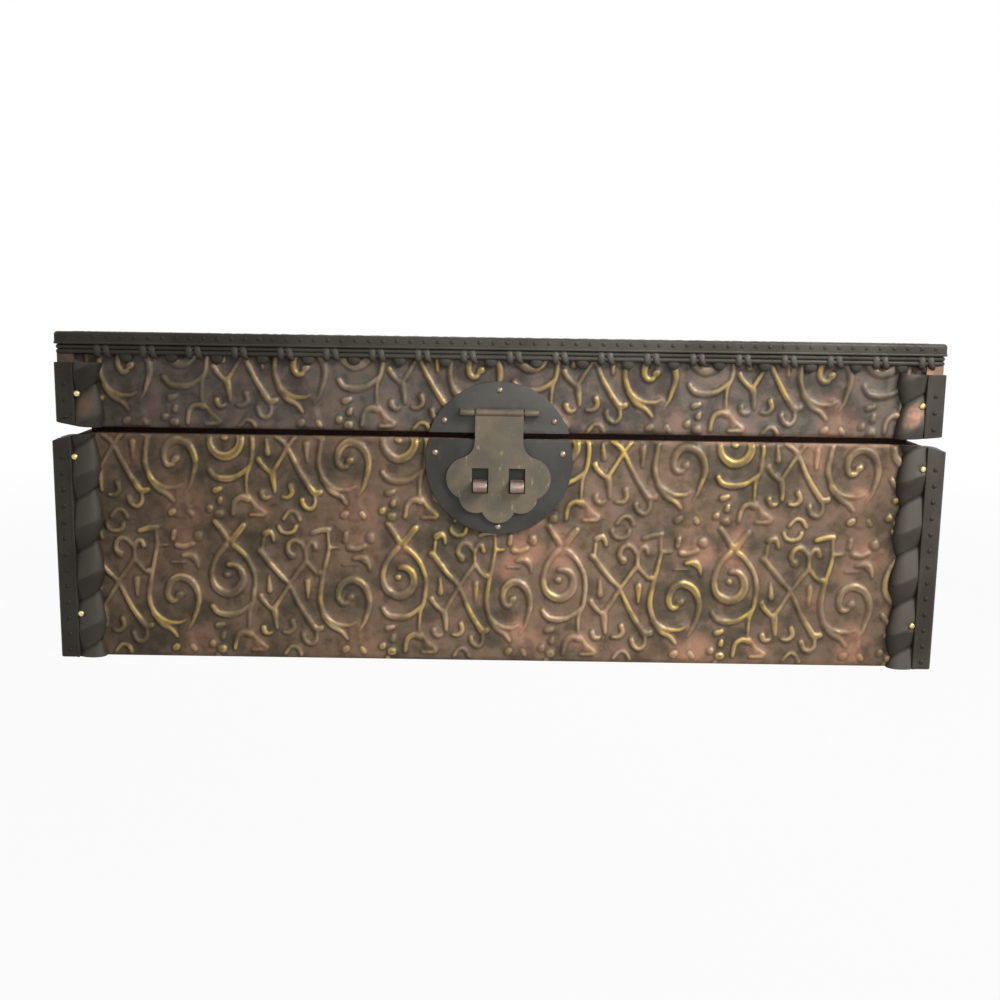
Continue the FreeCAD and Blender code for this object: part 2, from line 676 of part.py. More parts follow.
def fasteners():
    tack = domed_nail("tack")
    nail = domed_nail("nail")
    screw = countersunk_screw()
    doc.recompute()
    heights = ["base_height - tack_upper_drop", "tack_lower_height"]
    group("base_trim_tacks", tack, tack_spots(BASE_X, BASE_Y, heights))
    group("lid_trim_tacks", tack, tack_spots(LID_X, LID_Y, [f"{LID_LOW} + tack_lid_height"]))
    plate_nails("lock_lower_plate_nails", nail, BASE_PLATE_FACE, "lower_nail_spread",
                "base_height - lower_nail_drop", "base_height - lower_nail_bottom")
    plate_nails("lock_upper_plate_nails", nail, LID_PLATE_FACE, "upper_nail_spread",
                f"{LID_LOW} + upper_nail_height", f"{LID_LOW} + upper_nail_top")
    hinges(screw)


def write_pieces():
    """Stops on any failed object or unsound shape, and then writes one file for each piece."""
    doc.recompute()
    for item in doc.Objects:
        if "Invalid" in item.State or "Error" in item.State:
            raise RuntimeError(f"{item.Label} failed: {item.State}")
    for piece in pieces:
        if piece.Shape.isNull() or not piece.Shape.isValid() or not piece.Shape.Solids:
            raise RuntimeError(f"{piece.Label} has no sound solid")
    os.makedirs("parts", exist_ok=True)
    for piece in pieces:
        piece.Shape.exportStep(f"parts/{piece.Label}.step")
    print(f"{len(pieces)} pieces written")


sheet = make_sheet()
base_boards()
lid_boards()
wall_skins("base", BASE_X, BASE_Y, ("0", "base_height"))
wall_skins("lid", LID_X, LID_Y, (LID_LOW, LID_TOP))
top_skin()
linings()
corner_trims()
top_trims()
lock_plates()
staples()
hasp()
fasteners()
write_pieces()
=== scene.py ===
import math

import bmesh
import bpy
from mathutils import Matrix, Vector


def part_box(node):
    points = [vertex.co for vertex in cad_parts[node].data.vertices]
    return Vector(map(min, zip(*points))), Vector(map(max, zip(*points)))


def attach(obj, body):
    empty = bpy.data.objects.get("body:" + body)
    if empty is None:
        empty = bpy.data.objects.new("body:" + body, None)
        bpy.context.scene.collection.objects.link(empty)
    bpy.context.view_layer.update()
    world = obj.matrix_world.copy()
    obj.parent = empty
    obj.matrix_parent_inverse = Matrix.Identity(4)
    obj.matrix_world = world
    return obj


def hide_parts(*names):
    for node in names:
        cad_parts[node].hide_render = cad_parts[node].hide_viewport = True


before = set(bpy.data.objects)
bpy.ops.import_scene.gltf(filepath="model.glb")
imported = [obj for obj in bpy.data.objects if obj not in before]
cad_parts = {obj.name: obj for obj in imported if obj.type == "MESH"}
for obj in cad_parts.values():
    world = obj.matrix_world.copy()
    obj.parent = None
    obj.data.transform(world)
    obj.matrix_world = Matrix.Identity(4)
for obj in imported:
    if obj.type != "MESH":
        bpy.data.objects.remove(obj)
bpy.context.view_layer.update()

MM = 0.001  # sizes below are in millimetres, and the scene is in metres

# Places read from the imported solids, in millimetres.
BASE_SKIN = [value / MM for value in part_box("base_front_skin")[1]]
LID_SKIN = [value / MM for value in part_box("lid_front_skin")[1]]
BASE_HALF = (BASE_SKIN[0], -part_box("base_front_skin")[0].y / MM)
LID_HALF = (LID_SKIN[0], -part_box("lid_front_skin")[0].y / MM)
HALVES = {"base": BASE_HALF, "lid": LID_HALF}  # from the middle to the skins' faces, along x and y
BASE_TOP = BASE_SKIN[2]
LID_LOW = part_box("lid_front_skin")[0].z / MM
LID_WALL_TOP = LID_SKIN[2]
LID_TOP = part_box("lid_top_skin")[1].z / MM
LID_TRIM_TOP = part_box("lid_corner_trim_front_left")[1].z / MM
TRIM_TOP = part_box("lid_top_trim_front")[1].z / MM
HASP_PIN = (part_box("hasp_pin")[0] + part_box("hasp_pin")[1]) / 2 / MM
HASP_AXIS = (HASP_PIN.y, HASP_PIN.z)

# Embossed skin: a pressed sheet with a scroll relief that repeats.
SKIN_GROUND = 0.6  # sheet under the relief
SKIN_RELIEF = 1.4
FLANK = 1.9  # width of a stroke's sloping side
STROKE_SLOPE = (-0.3, 0.7)  # a side rises between these, in flanks inwards from the stroke's edge
FILL_SLOPE = (-0.6, 0.9)
PAD_SLOPE = (-0.5, 0.5)
FILL_RISE = 0.6  # a filled place's rise, as a share of a stroke's
PAD_FLANK = 7.0  # how softly a rubbed patch fades
PANEL_STEP = 0.65  # spacing of the sheet's points
TOP_STEP = 1.1  # the lid's top is seen from further away
REPEAT = (78.25, 63.0)
FRONT_START = (56.2, 34.8)  # a crossing of bars on the base's front, x and z
FRONT_SLIP = 5.2  # the left half of the front's pattern lies this much further right than its repeat
SLIP_REACH = 30.0  # the slip comes in over this far on each side of the middle
LID_START = (41.75, 139.0)
EDGE_ROLL = 1.6  # how far in from its edge the sheet rolls over
EDGE_RUB = 0.8  # share of copper along that edge
WAVER = 0.9  # how far the strokes wander from their drawing
SWELL = 1.0  # how far the ground rises and falls
WAVER_LENGTH = 9.0
SWELL_LENGTH = 12.0
STROKE_STEP = 0.5  # spacing of a stroke's points
BACK_LAP = 0.02  # a sheet's back lies this far behind the face that it covers
RUBBED_X = (-150.0, 50.0)  # copper is at half strength left of the first x and full right of the second

# Corner trims, measured inwards from the skin's corner.
BAND_INNER = 6.5
BAND_THICK = 2.5
BAND_RADIUS = 2.2
BAND_EASE = 0.35  # rounding of the band's edges
RIM_WIDTH = 1.1  # raised rim along the band's inner edge
RIM_RISE = 0.45
ROPE_INNER = 4.6  # the rope passes behind the band's edge
ROPE_OUTER = 18.7
ROPE_RISE = 4.2
ROPE_PITCH = 23.4  # one strand to the next
ROPE_CLIMB = 6.5  # how far a strand climbs from one side of the rope to the other
ROPE_NOTCH = 0.42  # how deep the notch between strands cuts, as a share of the rope
ROPE_RIDGE = 0.38  # a strand's ridge above its notch, as a share of the strand
ROPE_ROUNDNESS = 0.65  # a strand is fuller with a lower value
ROPE_FULLNESS = 0.85  # so is the rope's half round
ROPE_STEP = 0.6  # spacing of the rope's points up it
RUB_AND_HIGHLIGHT_WAVE = (0.12, 0.76)  # the start and length of the part of a half wave that a facet's rub and painted highlight follow
RUB_AND_HIGHLIGHT_FULLNESS = 0.6  # a rub and its painted highlight are broader with a lower value
CROWN_FADE = 0.1  # how softly the rubbed, highlighted facet begins at the ridge, as a share of the facet
NOTCH_DARKENING = 0.06  # how far the darkening reaches out of a notch, as a share of the strand
BASE_ROPE_PHASES = (1.5, 5.2)  # height of a notch on each rope of a trim
LID_ROPE_PHASES = (2.0, 3.2)
DOT_PITCH = 7.4
DOT_INSET = 2.2
DOT_RADIUS = 1.15
DOT_RISE = 0.5
DOT_CROWN = -0.6  # dots are coloured darker, a painted shade
BASE_DOTS = (3.5, 13)  # lowest dot's height and how many
LID_DOTS = (110.1, 3)
TACK_INSET = 7.9
TACK_SEAT = 1.7  # radius of the flat place pressed in a rope under a tack
TACK_FOOT = 2.4  # that place, out from the skin
BASE_TACKS = (20.5, 92.5)
LID_TACKS = (120.6,)
COLLAR_OUT = 0.9  # the lid's skin folded round the corner above a trim
COLLAR_CROWN = 0.95
WORN_REACH = 16.0  # a corner wears down from this far in along the front or back
SIDE_WORN_REACH = 80.0
WEAR_CUTS = (0.25, 0.5, 0.75, 1.0)  # where a board is cut to wear down, as shares of the reach
WORN_HEIGHT = 15.0  # what lies within this height of the worn edge is pressed down with it
CORNER_WEAR = {  # depth worn from the base's top and the lid's foot
    "front_left": (3.7, 2.4), "front_right": (2.9, 1.2), "back_right": (2.4, 1.2), "back_left": (3.0, 1.6),
}

# Trims round the lid's top edge. Heights go down from the trim's top.
TOP_BAND_THICK = 2.4
TOP_BAND_HEIGHT = 5.5
TOP_LEG_WIDTH = 12.0
TOP_LEG_THICK = 3.3
TOP_EDGE_RADIUS = 1.5
TOP_CORNER_RADIUS = 3.5
TOP_INNER_EASE = 0.5
TOP_CROWN = 0.1
LIP_HEIGHT = 1.1  # raised lip along the band's lower edge
LIP_RISE = 0.3
LIP_CROWN = 0.5
REED_FACE = 0.9  # the reeds' bed, out from the skin
REED_RISE = 0.9
REED_HALF = 1.05
REED_CROWN = 0.4
REED_MIDDLES = (-6.7, -8.8)
REED_LOW = -10.2
REED_BACK = 0.9
TIE_PITCH = 20.3
TIE_SPACING = 3.8  # between the two bars of a tie
TIE_WIDTH = 3.3
TIE_FOOT = 0.9  # a bar's foot and top, out from the skin
TIE_TOP = 2.4
TIE_LENGTH = 6.3
TIE_ROUNDING = 0.3  # share of a bar over which its lower end rounds off
TIE_END = 0.05  # share of its size that is left at the tip
TIE_ARCH = (0.15, 0.7)  # the start and length of the part of a half wave that a bar bulges by
TIE_FULLNESS = 0.7  # a bar is fuller with a lower value
TIE_HIGHLIGHT_FADE = 0.7  # share of the crest's paleness, rubbing and painted highlight, that is gone at the tip
TIE_CURLS = (0.3, 1.7)  # how far each bar's foot turns aside
FRONT_TIE_LAST = 188.7  # x of the front's last tie
DROP_RADIUS = 3.2
DROP_RISE = 1.3
DROP_CROWN = 0.1
DROP_MIDDLE = -4.7  # from the band's lower edge
STUD_PITCH = 6.1
STUD_RADIUS = 1.0
STUD_RISE = 0.3
STUD_LINE = -2.4
STUD_CROWN = -0.4  # studs are coloured darker, a painted shade
TOP_STUD_PITCH = 8.4
TOP_STUD_RADIUS = 1.8
TOP_STUD_RISE = 0.16
TOP_STUD_INSET = 3.6

# Lock: the hasp is thinned below a roll round its pin.
PLATE_THICK = 1.2
HASP_THINNING = 0.45
ROLL_RADIUS = 1.9
ROLL_HALF = 10.6
ROLL_EASE = 0.4
ROLL_SIDES = 24
EDGE_EASE = 0.3  # rounding of the lock pieces' edges
EAR_STAND = 0.1  # what stands this far out from the plate's face is an ear
SLOTS_HEIGHT = 85.5  # middle of the hasp's slots
PAINTED_SHADE_REACH = (15.0, 20.0)  # painted shade behind the slots fades out between these

# Meshes and stage
SHARP = 35.0  # degrees: an edge that turns by more is rounded, and isn't smoothed over on the lock
FLAT = 2.0  # degrees: faces that turn by less are one face
WELD = 0.005  # points closer than this are one point
SHADOW_REACH = (0.25, 0.9)  # metres from the middle where the floor's shadow starts to fade and is gone
SHADOW_WHITE = 0.95  # share of plain white in the floor by the chest, where the rest shows its shadow
WORLD_LIGHT = 0.2  # strength for the rays that light the chest
FLOOR_HALF = 6.0  # metres

FACE_TURNS = {"front": 0, "right": 1, "back": 2, "left": 3}
SMOOTH = {"interpolation_type": "SMOOTHSTEP"}
COLOUR = {"data_type": "RGBA"}


def linear(hex_colour):
    """An sRGB hex colour as linear red, green, blue and alpha."""
    channels = [int(hex_colour[place:place + 2], 16) / 255 for place in (1, 3, 5)]
    toned = [c / 12.92 if c <= 0.04045 else ((c + 0.055) / 1.055) ** 2.4 for c in channels]
    return (*toned, 1.0)


def pick(sockets, key):
    """The live socket of that name, or at that place among the live ones."""
    live = [socket for socket in sockets if socket.enabled]
    return live[key] if isinstance(key, int) else next(s for s in live if s.name == key)


def add(tree, kind, inputs=(), output=0, **settings):
    """Adds a node with its settings, sets or links its inputs by place or name, and gives one output."""
    made = tree.nodes.new(kind)
    for name, value in settings.items():
        setattr(made, name, value)
    given = inputs.items() if isinstance(inputs, dict) else enumerate(inputs)
    for key, source in given:
        target = pick(made.inputs, key)
        if isinstance(source, bpy.types.NodeSocket):
            tree.links.new(source, target)
        else:
            target.default_value = source
    return pick(made.outputs, output) if made.outputs else None


def per(size):
    """A texture scale whose pattern is about that many millimetres across."""
    return 1 / (size * MM)


# Geometry trees

def new_tree(name, inputs):
    """A geometry tree with named inputs. Gives the tree and its input sockets by name."""
    tree = bpy.data.node_groups.new(name, "GeometryNodeTree")
    for label, kind in inputs.items():
        tree.interface.new_socket(label, in_out="INPUT", socket_type=f"NodeSocket{kind}")
    tree.interface.new_socket("Geometry", in_out="OUTPUT", socket_type="NodeSocketGeometry")
    sockets = tree.nodes.new("NodeGroupInput").outputs
    return tree, {label: sockets[label] for label in inputs}


def end_tree(tree, geometry, material):
    """Makes the tree's result real, with its material."""
    whole = add(tree, "GeometryNodeRealizeInstances", [geometry])
    coloured = add(tree, "GeometryNodeSetMaterial", {"Geometry": whole, "Material": material})
    add(tree, "NodeGroupOutput", {"Geometry": coloured})


def grown(tree, **values):
    """The plain mesh that a tree makes from these inputs."""
    holder = bpy.data.objects.new(tree.name, bpy.data.meshes.new(tree.name))
    bpy.context.scene.collection.objects.link(holder)
    modifier = holder.modifiers.new(tree.name, "NODES")
    modifier.node_group = tree
    for item in tree.interface.items_tree:
        if item.name in values:
            modifier[item.identifier] = values[item.name]
    graph = bpy.context.evaluated_depsgraph_get()
    mesh = bpy.data.meshes.new_from_object(
        holder.evaluated_get(graph), preserve_all_data_layers=True, depsgraph=graph
    )
    bpy.data.objects.remove(holder)
    return mesh


def depth_inside(tree, drawn, repeats, place):
    """How far each place lies inside the nearest drawn stroke, whose half width is its curve's radius."""
    radius = add(tree, "GeometryNodeInputRadius")
    drawn = add(tree, "GeometryNodeObjectInfo", {"Object": drawn}, output="Geometry")
    drawn = add(tree, "GeometryNodeStoreNamedAttribute",
                {"Geometry": drawn, "Name": "half_width", "Value": radius}, domain="POINT")
    smooth = add(tree, "GeometryNodeCurveSplineType", {"Curve": drawn}, spline_type="CATMULL_ROM")
    fine = add(tree, "GeometryNodeResampleCurve", {"Curve": smooth, "Length": STROKE_STEP * MM},
               mode="LENGTH")
    lines = add(tree, "GeometryNodeCurveToMesh", {"Curve": fine})
    copies = add(tree, "GeometryNodeInstanceOnPoints", {"Points": repeats, "Instance": lines})
    strokes = add(tree, "GeometryNodeRealizeInstances", [copies])
    distance = add(tree, "GeometryNodeProximity", {0: strokes, "Sample Position": place},
                   output="Distance", target_element="EDGES")
    nearest = add(tree, "GeometryNodeSampleNearest", {"Geometry": strokes, "Sample Position": place},
                  domain="POINT")
    width = add(tree, "GeometryNodeInputNamedAttribute", {"Name": "half_width"})
    width = add(tree, "GeometryNodeSampleIndex", {"Geometry": strokes, "Value": width, "Index": nearest},
                domain="POINT")
    return add(tree, "ShaderNodeMath", [width, distance], operation="SUBTRACT")


def embossing_tree():
    """A sheet pressed with strokes that repeat: its height follows the distance to the nearest stroke."""
    tree, given = new_tree("pressed_sheet", {
        "Width": "Float", "Height": "Float", "Columns": "Int", "Rows": "Int", "Strokes": "Object",
        "Fills": "Object", "Pads": "Object", "Repeat": "Vector", "Start": "Vector", "Ground": "Float",
        "Relief": "Float", "Flank": "Float", "Fill Rise": "Float", "Pad Flank": "Float", "Roll": "Float",
        "Waver": "Float", "Swell": "Float", "Slip": "Float", "Material": "Material",
    })
    sizes = [given[label] for label in ("Width", "Height", "Columns", "Rows")]
    sheet = add(tree, "GeometryNodeMeshGrid", sizes)
    # Nine repeats, so that each place within the middle one sees the strokes all round it.
    double = add(tree, "ShaderNodeVectorMath", {0: given["Repeat"], "Scale": 2.0}, operation="SCALE")
    split = add(tree, "ShaderNodeSeparateXYZ", [double]).node.outputs
    repeats = add(tree, "GeometryNodeMeshGrid", [split["X"], split["Y"], 3, 3])
    # Each point of the sheet looks up the strokes from its place within one repeat.
    place = add(tree, "GeometryNodeInputPosition")
    apart = add(tree, "ShaderNodeSeparateXYZ", [place]).node.outputs
    wander = add(tree, "ShaderNodeTexNoise", {"Vector": place, "Scale": per(WAVER_LENGTH)}, output="Color")
    wander = add(tree, "ShaderNodeVectorMath", [wander, (0.5, 0.5, 0.5)], operation="SUBTRACT")
    wander = add(tree, "ShaderNodeVectorMath", {0: wander, "Scale": given["Waver"]}, operation="SCALE")
    moved = add(tree, "ShaderNodeVectorMath", [place, given["Start"]], operation="SUBTRACT")
    moved = add(tree, "ShaderNodeVectorMath", [moved, wander], operation="ADD")
    slip = add(tree, "ShaderNodeMapRange",
               [apart["X"], -SLIP_REACH * MM, SLIP_REACH * MM, given["Slip"], 0.0], **SMOOTH)
    slip = add(tree, "ShaderNodeCombineXYZ", {"X": slip})
    moved = add(tree, "ShaderNodeVectorMath", [moved, slip], operation="SUBTRACT")
    half = add(tree, "ShaderNodeVectorMath", {0: given["Repeat"], "Scale": 0.5}, operation="SCALE")
    less = add(tree, "ShaderNodeVectorMath", {0: given["Repeat"], "Scale": -0.5}, operation="SCALE")
    within = add(tree, "ShaderNodeVectorMath", [moved, half, less], operation="WRAP")
    flat = add(tree, "ShaderNodeVectorMath", [within, (1.0, 1.0, 0.0)], operation="MULTIPLY")
    raised_shares = []
    for drawn, flank, slope in (
        ("Strokes", "Flank", STROKE_SLOPE), ("Fills", "Flank", FILL_SLOPE), ("Pads", "Pad Flank", PAD_SLOPE),
    ):
        inside = depth_inside(tree, given[drawn], repeats, flat)
        share = add(tree, "ShaderNodeMath", [inside, given[flank]], operation="DIVIDE")
        raised_shares.append(add(tree, "ShaderNodeMapRange", [share, *slope], **SMOOTH))
    rise, fill, pad = raised_shares
    rise = add(tree, "GeometryNodeBlurAttribute", {"Value": rise, "Iterations": 1})
    fill = add(tree, "ShaderNodeMath", [fill, given["Fill Rise"]], operation="MULTIPLY")
    # The sheet rolls down at its edges, where it is rubbed too, and its ground swells unevenly.
    edges = []
    for axis, size in (("X", "Width"), ("Y", "Height")):
        reach = add(tree, "ShaderNodeMath", [given[size], 0.5], operation="MULTIPLY")
        off_middle = add(tree, "ShaderNodeMath", [apart[axis]], operation="ABSOLUTE")
        edges.append(add(tree, "ShaderNodeMath", [reach, off_middle], operation="SUBTRACT"))
    edge = add(tree, "ShaderNodeMath", edges, operation="MINIMUM")
    edge = add(tree, "ShaderNodeMath", [edge, given["Roll"]], operation="DIVIDE")
    edge = add(tree, "ShaderNodeMapRange", [edge, 0.0, 1.0], **SMOOTH)
    rubbed = add(tree, "ShaderNodeMapRange", [edge, 0.0, 1.0, EDGE_RUB, 0.0])
    pad = add(tree, "ShaderNodeMath", [pad, rubbed], operation="MAXIMUM")
    swell = add(tree, "ShaderNodeTexNoise", {"Vector": place, "Scale": per(SWELL_LENGTH), "Detail": 3.0})
    swell = add(tree, "ShaderNodeMath", [swell, 0.5], operation="SUBTRACT")
    swell = add(tree, "ShaderNodeMath", [swell, given["Swell"]], operation="MULTIPLY")
    raised = add(tree, "ShaderNodeMath", [rise, fill], operation="MAXIMUM")
    raised = add(tree, "ShaderNodeMath", [raised, given["Relief"], swell], operation="MULTIPLY_ADD")
    height = add(tree, "ShaderNodeMath", [raised, given["Ground"]], operation="ADD")
    height = add(tree, "ShaderNodeMath", [height, edge], operation="MULTIPLY")
    lift = add(tree, "ShaderNodeCombineXYZ", {"Z": height})
    pressed = sheet
    for name, value in (("rise", rise), ("pad", pad)):
        pressed = add(tree, "GeometryNodeStoreNamedAttribute",
                      {"Geometry": pressed, "Name": name, "Value": value}, domain="POINT")
    pressed = add(tree, "GeometryNodeSetPosition", {"Geometry": pressed, "Offset": lift})
    pressed = add(tree, "GeometryNodeSetShadeSmooth", {"Geometry": pressed, "Shade Smooth": True})
    end_tree(tree, pressed, given["Material"])
    return tree


def row_tree():
    """One small shape repeated along a straight line."""
    tree, given = new_tree("row_of_shapes", {
        "Shape": "Object", "Start": "Vector", "End": "Vector", "Count": "Int", "Turn": "Rotation",
        "Material": "Material",
    })
    line = add(tree, "GeometryNodeMeshLine", {
        "Count": given["Count"], "Start Location": given["Start"], "Offset": given["End"],
    }, mode="END_POINTS", count_mode="TOTAL")
    shape = add(tree, "GeometryNodeObjectInfo", {"Object": given["Shape"]}, output="Geometry")
    placed = add(tree, "GeometryNodeInstanceOnPoints",
                 {"Points": line, "Instance": shape, "Rotation": given["Turn"]})
    end_tree(tree, placed, given["Material"])
    return tree


# Materials

def new_material(name):
    """A bare material, its tree and the object coordinates."""
    material = bpy.data.materials.new(name)
    material.use_nodes = True
    tree = material.node_tree
    tree.nodes.clear()
    return material, tree, add(tree, "ShaderNodeTexCoord", output="Object")


def embossed_leather(name, low, high, gilding, coppering):
    """Pressed leather, stained, with gold rubbed along its ridges and copper rubbed over in patches.

    The eye gets a mottled brown ground, dark wash at the foot of each stroke and a dull metal gleam along it.
    gilding and coppering are the shares of gold and copper where most is left.
    """
    material, tree, place = new_material(name)
    rise = add(tree, "ShaderNodeAttribute", output="Fac", attribute_name="rise")
    pad = add(tree, "ShaderNodeAttribute", output="Fac", attribute_name="pad")
    across = add(tree, "ShaderNodeSeparateXYZ", [place], output="X")
    # The grain is drawn coarser than it is, so that it shows.
    broad, cloud, blot, stroke, grain = (
        add(tree, "ShaderNodeTexNoise", {"Vector": place, "Scale": per(size), "Detail": detail})
        for size, detail in ((24.0, 5.0), (48.0, 3.0), (7.0, 5.0), (11.0, 3.0), (1.4, 3.0))
    )
    mottle = add(tree, "ShaderNodeMapRange", [broad, 0.35, 0.65], **SMOOTH)
    colour = add(tree, "ShaderNodeMix", [mottle, linear(low), linear(high)], **COLOUR)
    for source, *limits, stain in (
        (blot, 0.48, 0.68, 0.0, 0.5, "#7d6658"),
        (blot, 0.34, 0.5, 0.6, 0.0, "#3a3027"),
        (rise, 0.4, 1.0, 0.0, 0.2, "#8a7a66"),
    ):
        share = add(tree, "ShaderNodeMapRange", [source, *limits], **SMOOTH)
        colour = add(tree, "ShaderNodeMix", [share, colour, linear(stain)], **COLOUR)
    # Copper, strong in some repeats and faint in the others, and rubbed more on the right.
    copper = pad
    for source, *limits in (
        (cloud, 0.44, 0.58, 0.15, coppering),
        (blot, 0.3, 0.6, 0.5, 1.0),
        (across, RUBBED_X[0] * MM, RUBBED_X[1] * MM, 0.5, 1.0),
    ):
        share = add(tree, "ShaderNodeMapRange", [source, *limits], **SMOOTH)
        copper = add(tree, "ShaderNodeMath", [copper, share], operation="MULTIPLY")
    colour = add(tree, "ShaderNodeMix", [copper, colour, linear("#9c745e")], **COLOUR)
    # Gold along the shoulders of wide strokes and over the narrow ones, laid on unevenly.
    gold = add(tree, "ShaderNodeMapRange", [rise, 0.25, 0.65], **SMOOTH)
    for source, *limits in ((rise, 0.85, 1.0, 1.0, 0.3), (stroke, 0.4, 0.62, 0.15, gilding)):
        share = add(tree, "ShaderNodeMapRange", [source, *limits], **SMOOTH)
        gold = add(tree, "ShaderNodeMath", [gold, share], operation="MULTIPLY")
    tint = add(tree, "ShaderNodeMix", [mottle, linear("#b3964f"), linear("#a68e70")], **COLOUR)
    colour = add(tree, "ShaderNodeMix", [gold, colour, tint], **COLOUR)
    foot = add(tree, "ShaderNodeMapRange", [rise, 0.0, 0.1], **SMOOTH)
    clear = add(tree, "ShaderNodeMapRange", [rise, 0.1, 0.4, 0.25, 0.0], **SMOOTH)
    wash = add(tree, "ShaderNodeMath", [foot, clear], operation="MULTIPLY")
    colour = add(tree, "ShaderNodeMix", [wash, colour, linear("#2b2119")], **COLOUR)
    metal = add(tree, "ShaderNodeMapRange", [gold, 0.0, 1.0, 0.05, 0.5])
    rough = add(tree, "ShaderNodeMapRange", [grain, 0.3, 0.7, 0.38, 0.55], **SMOOTH)
    normal = add(tree, "ShaderNodeBump", {"Height": grain, "Distance": 0.12 * MM})
    surface = add(tree, "ShaderNodeBsdfPrincipled", {
        "Base Color": colour, "Metallic": metal, "Roughness": rough, "Specular IOR Level": 0.22,
        "Normal": normal,
    })
    add(tree, "ShaderNodeOutputMaterial", [surface])
    return material


def stained_moulding(name, rub):
    """Moulded resin, stained black-brown and handled, its high places paler.

    The eye gets a charcoal skin with a low sheen, paler on the crowns from rubbing and painted highlight,
    darker in the notches, and painted shade on dots and studs. rub is the share of copper on the crowns.
    """
    material, tree, place = new_material(name)
    crown = add(tree, "ShaderNodeAttribute", output="Fac", attribute_name="crown")
    # The grit is drawn coarser than it is, so that it shows.
    broad, blot, grit = (
        add(tree, "ShaderNodeTexNoise", {"Vector": place, "Scale": per(size), "Detail": 4.0})
        for size in (22.0, 5.0, 1.3)
    )
    share = add(tree, "ShaderNodeMapRange", [broad, 0.35, 0.65], **SMOOTH)
    colour = add(tree, "ShaderNodeMix", [share, linear("#37312b"), linear("#46423b")], **COLOUR)
    # Crowns above 0 are paler, partly rubbing and partly painted highlight; below 0 darker, painted shade on
    # dots and studs.
    for *limits, stain in ((0.25, 0.8, 0.0, 0.55, "#605c53"), (-0.9, 0.0, 0.7, 0.0, "#1f1a16")):
        share = add(tree, "ShaderNodeMapRange", [crown, *limits], **SMOOTH)
        colour = add(tree, "ShaderNodeMix", [share, colour, linear(stain)], **COLOUR)
    share = add(tree, "ShaderNodeMapRange", [crown, 0.7, 0.98, 0.0, rub], **SMOOTH)
    broken = add(tree, "ShaderNodeMapRange", [blot, 0.38, 0.56, 0.5, 1.0], **SMOOTH)
    share = add(tree, "ShaderNodeMath", [share, broken], operation="MULTIPLY")
    colour = add(tree, "ShaderNodeMix", [share, colour, linear("#c4957a")], **COLOUR)
    rough = add(tree, "ShaderNodeMapRange", [grit, 0.3, 0.7, 0.4, 0.56], **SMOOTH)
    normal = add(tree, "ShaderNodeBump", {"Height": grit, "Distance": 0.08 * MM})
    surface = add(tree, "ShaderNodeBsdfPrincipled",
                  {"Base Color": colour, "Roughness": rough, "Specular IOR Level": 0.2, "Normal": normal})
    add(tree, "ShaderNodeOutputMaterial", [surface])
    return material


def antiqued_metal(name, low, high, speck, metallic, roughness, painted_shade_place=None):
    """Sheet metal with a baked dark finish: mottled, faintly dented, and streaked where the finish is worn.

    speck is the streaks' colour and share. The last is a place in metres round which shade is painted.
    """
    material, tree, place = new_material(name)
    speck_colour, speck_share = speck
    broad = add(tree, "ShaderNodeTexNoise", {"Vector": place, "Scale": per(14.0), "Detail": 5.0})
    drawn = add(tree, "ShaderNodeMapping", {"Vector": place, "Scale": (1.0, 1.0, 0.45)})
    fine = add(tree, "ShaderNodeTexNoise", {"Vector": drawn, "Scale": per(2.6), "Detail": 4.0})
    share = add(tree, "ShaderNodeMapRange", [broad, 0.35, 0.65], **SMOOTH)
    colour = add(tree, "ShaderNodeMix", [share, linear(low), linear(high)], **COLOUR)
    share = add(tree, "ShaderNodeMapRange", [fine, 0.6, 0.72, 0.0, speck_share], **SMOOTH)
    colour = add(tree, "ShaderNodeMix", [share, colour, linear(speck_colour)], **COLOUR)
    if painted_shade_place:
        # Painted shade: darker round that place, where the hasp shades the plate through its slots.
        reach = add(tree, "ShaderNodeVectorMath", [place, painted_shade_place], output="Value", operation="DISTANCE")
        share = add(tree, "ShaderNodeMapRange",
                    [reach, PAINTED_SHADE_REACH[0] * MM, PAINTED_SHADE_REACH[1] * MM, 0.85, 0.0], **SMOOTH)
        colour = add(tree, "ShaderNodeMix", [share, colour, linear("#20211e")], **COLOUR)
    rough = add(tree, "ShaderNodeMapRange", [broad, 0.3, 0.7, roughness - 0.07, roughness + 0.07], **SMOOTH)
    normal = add(tree, "ShaderNodeBump", {"Height": broad, "Distance": 0.25 * MM})
    surface = add(tree, "ShaderNodeBsdfPrincipled", {
        "Base Color": colour, "Metallic": metallic, "Roughness": rough, "Specular IOR Level": 0.22,
        "Normal": normal,
    })
    add(tree, "ShaderNodeOutputMaterial", [surface])
    return material


def tumbled_brass():
    """Brass tack heads, stamped and tumbled: a pale yellow gleam, duller in spots."""
    material, tree, place = new_material("tumbled_brass")
    tarnish = add(tree, "ShaderNodeTexNoise", {"Vector": place, "Scale": per(2.0), "Detail": 3.0})
    share = add(tree, "ShaderNodeMapRange", [tarnish, 0.4, 0.7], **SMOOTH)
    colour = add(tree, "ShaderNodeMix", [share, linear("#e0cf96"), linear("#b0965a")], **COLOUR)
    rough = add(tree, "ShaderNodeMapRange", [tarnish, 0.3, 0.7, 0.22, 0.4], **SMOOTH)
    surface = add(tree, "ShaderNodeBsdfPrincipled",
                  {"Base Color": colour, "Metallic": 1.0, "Roughness": rough})
    add(tree, "ShaderNodeOutputMaterial", [surface])
    return material


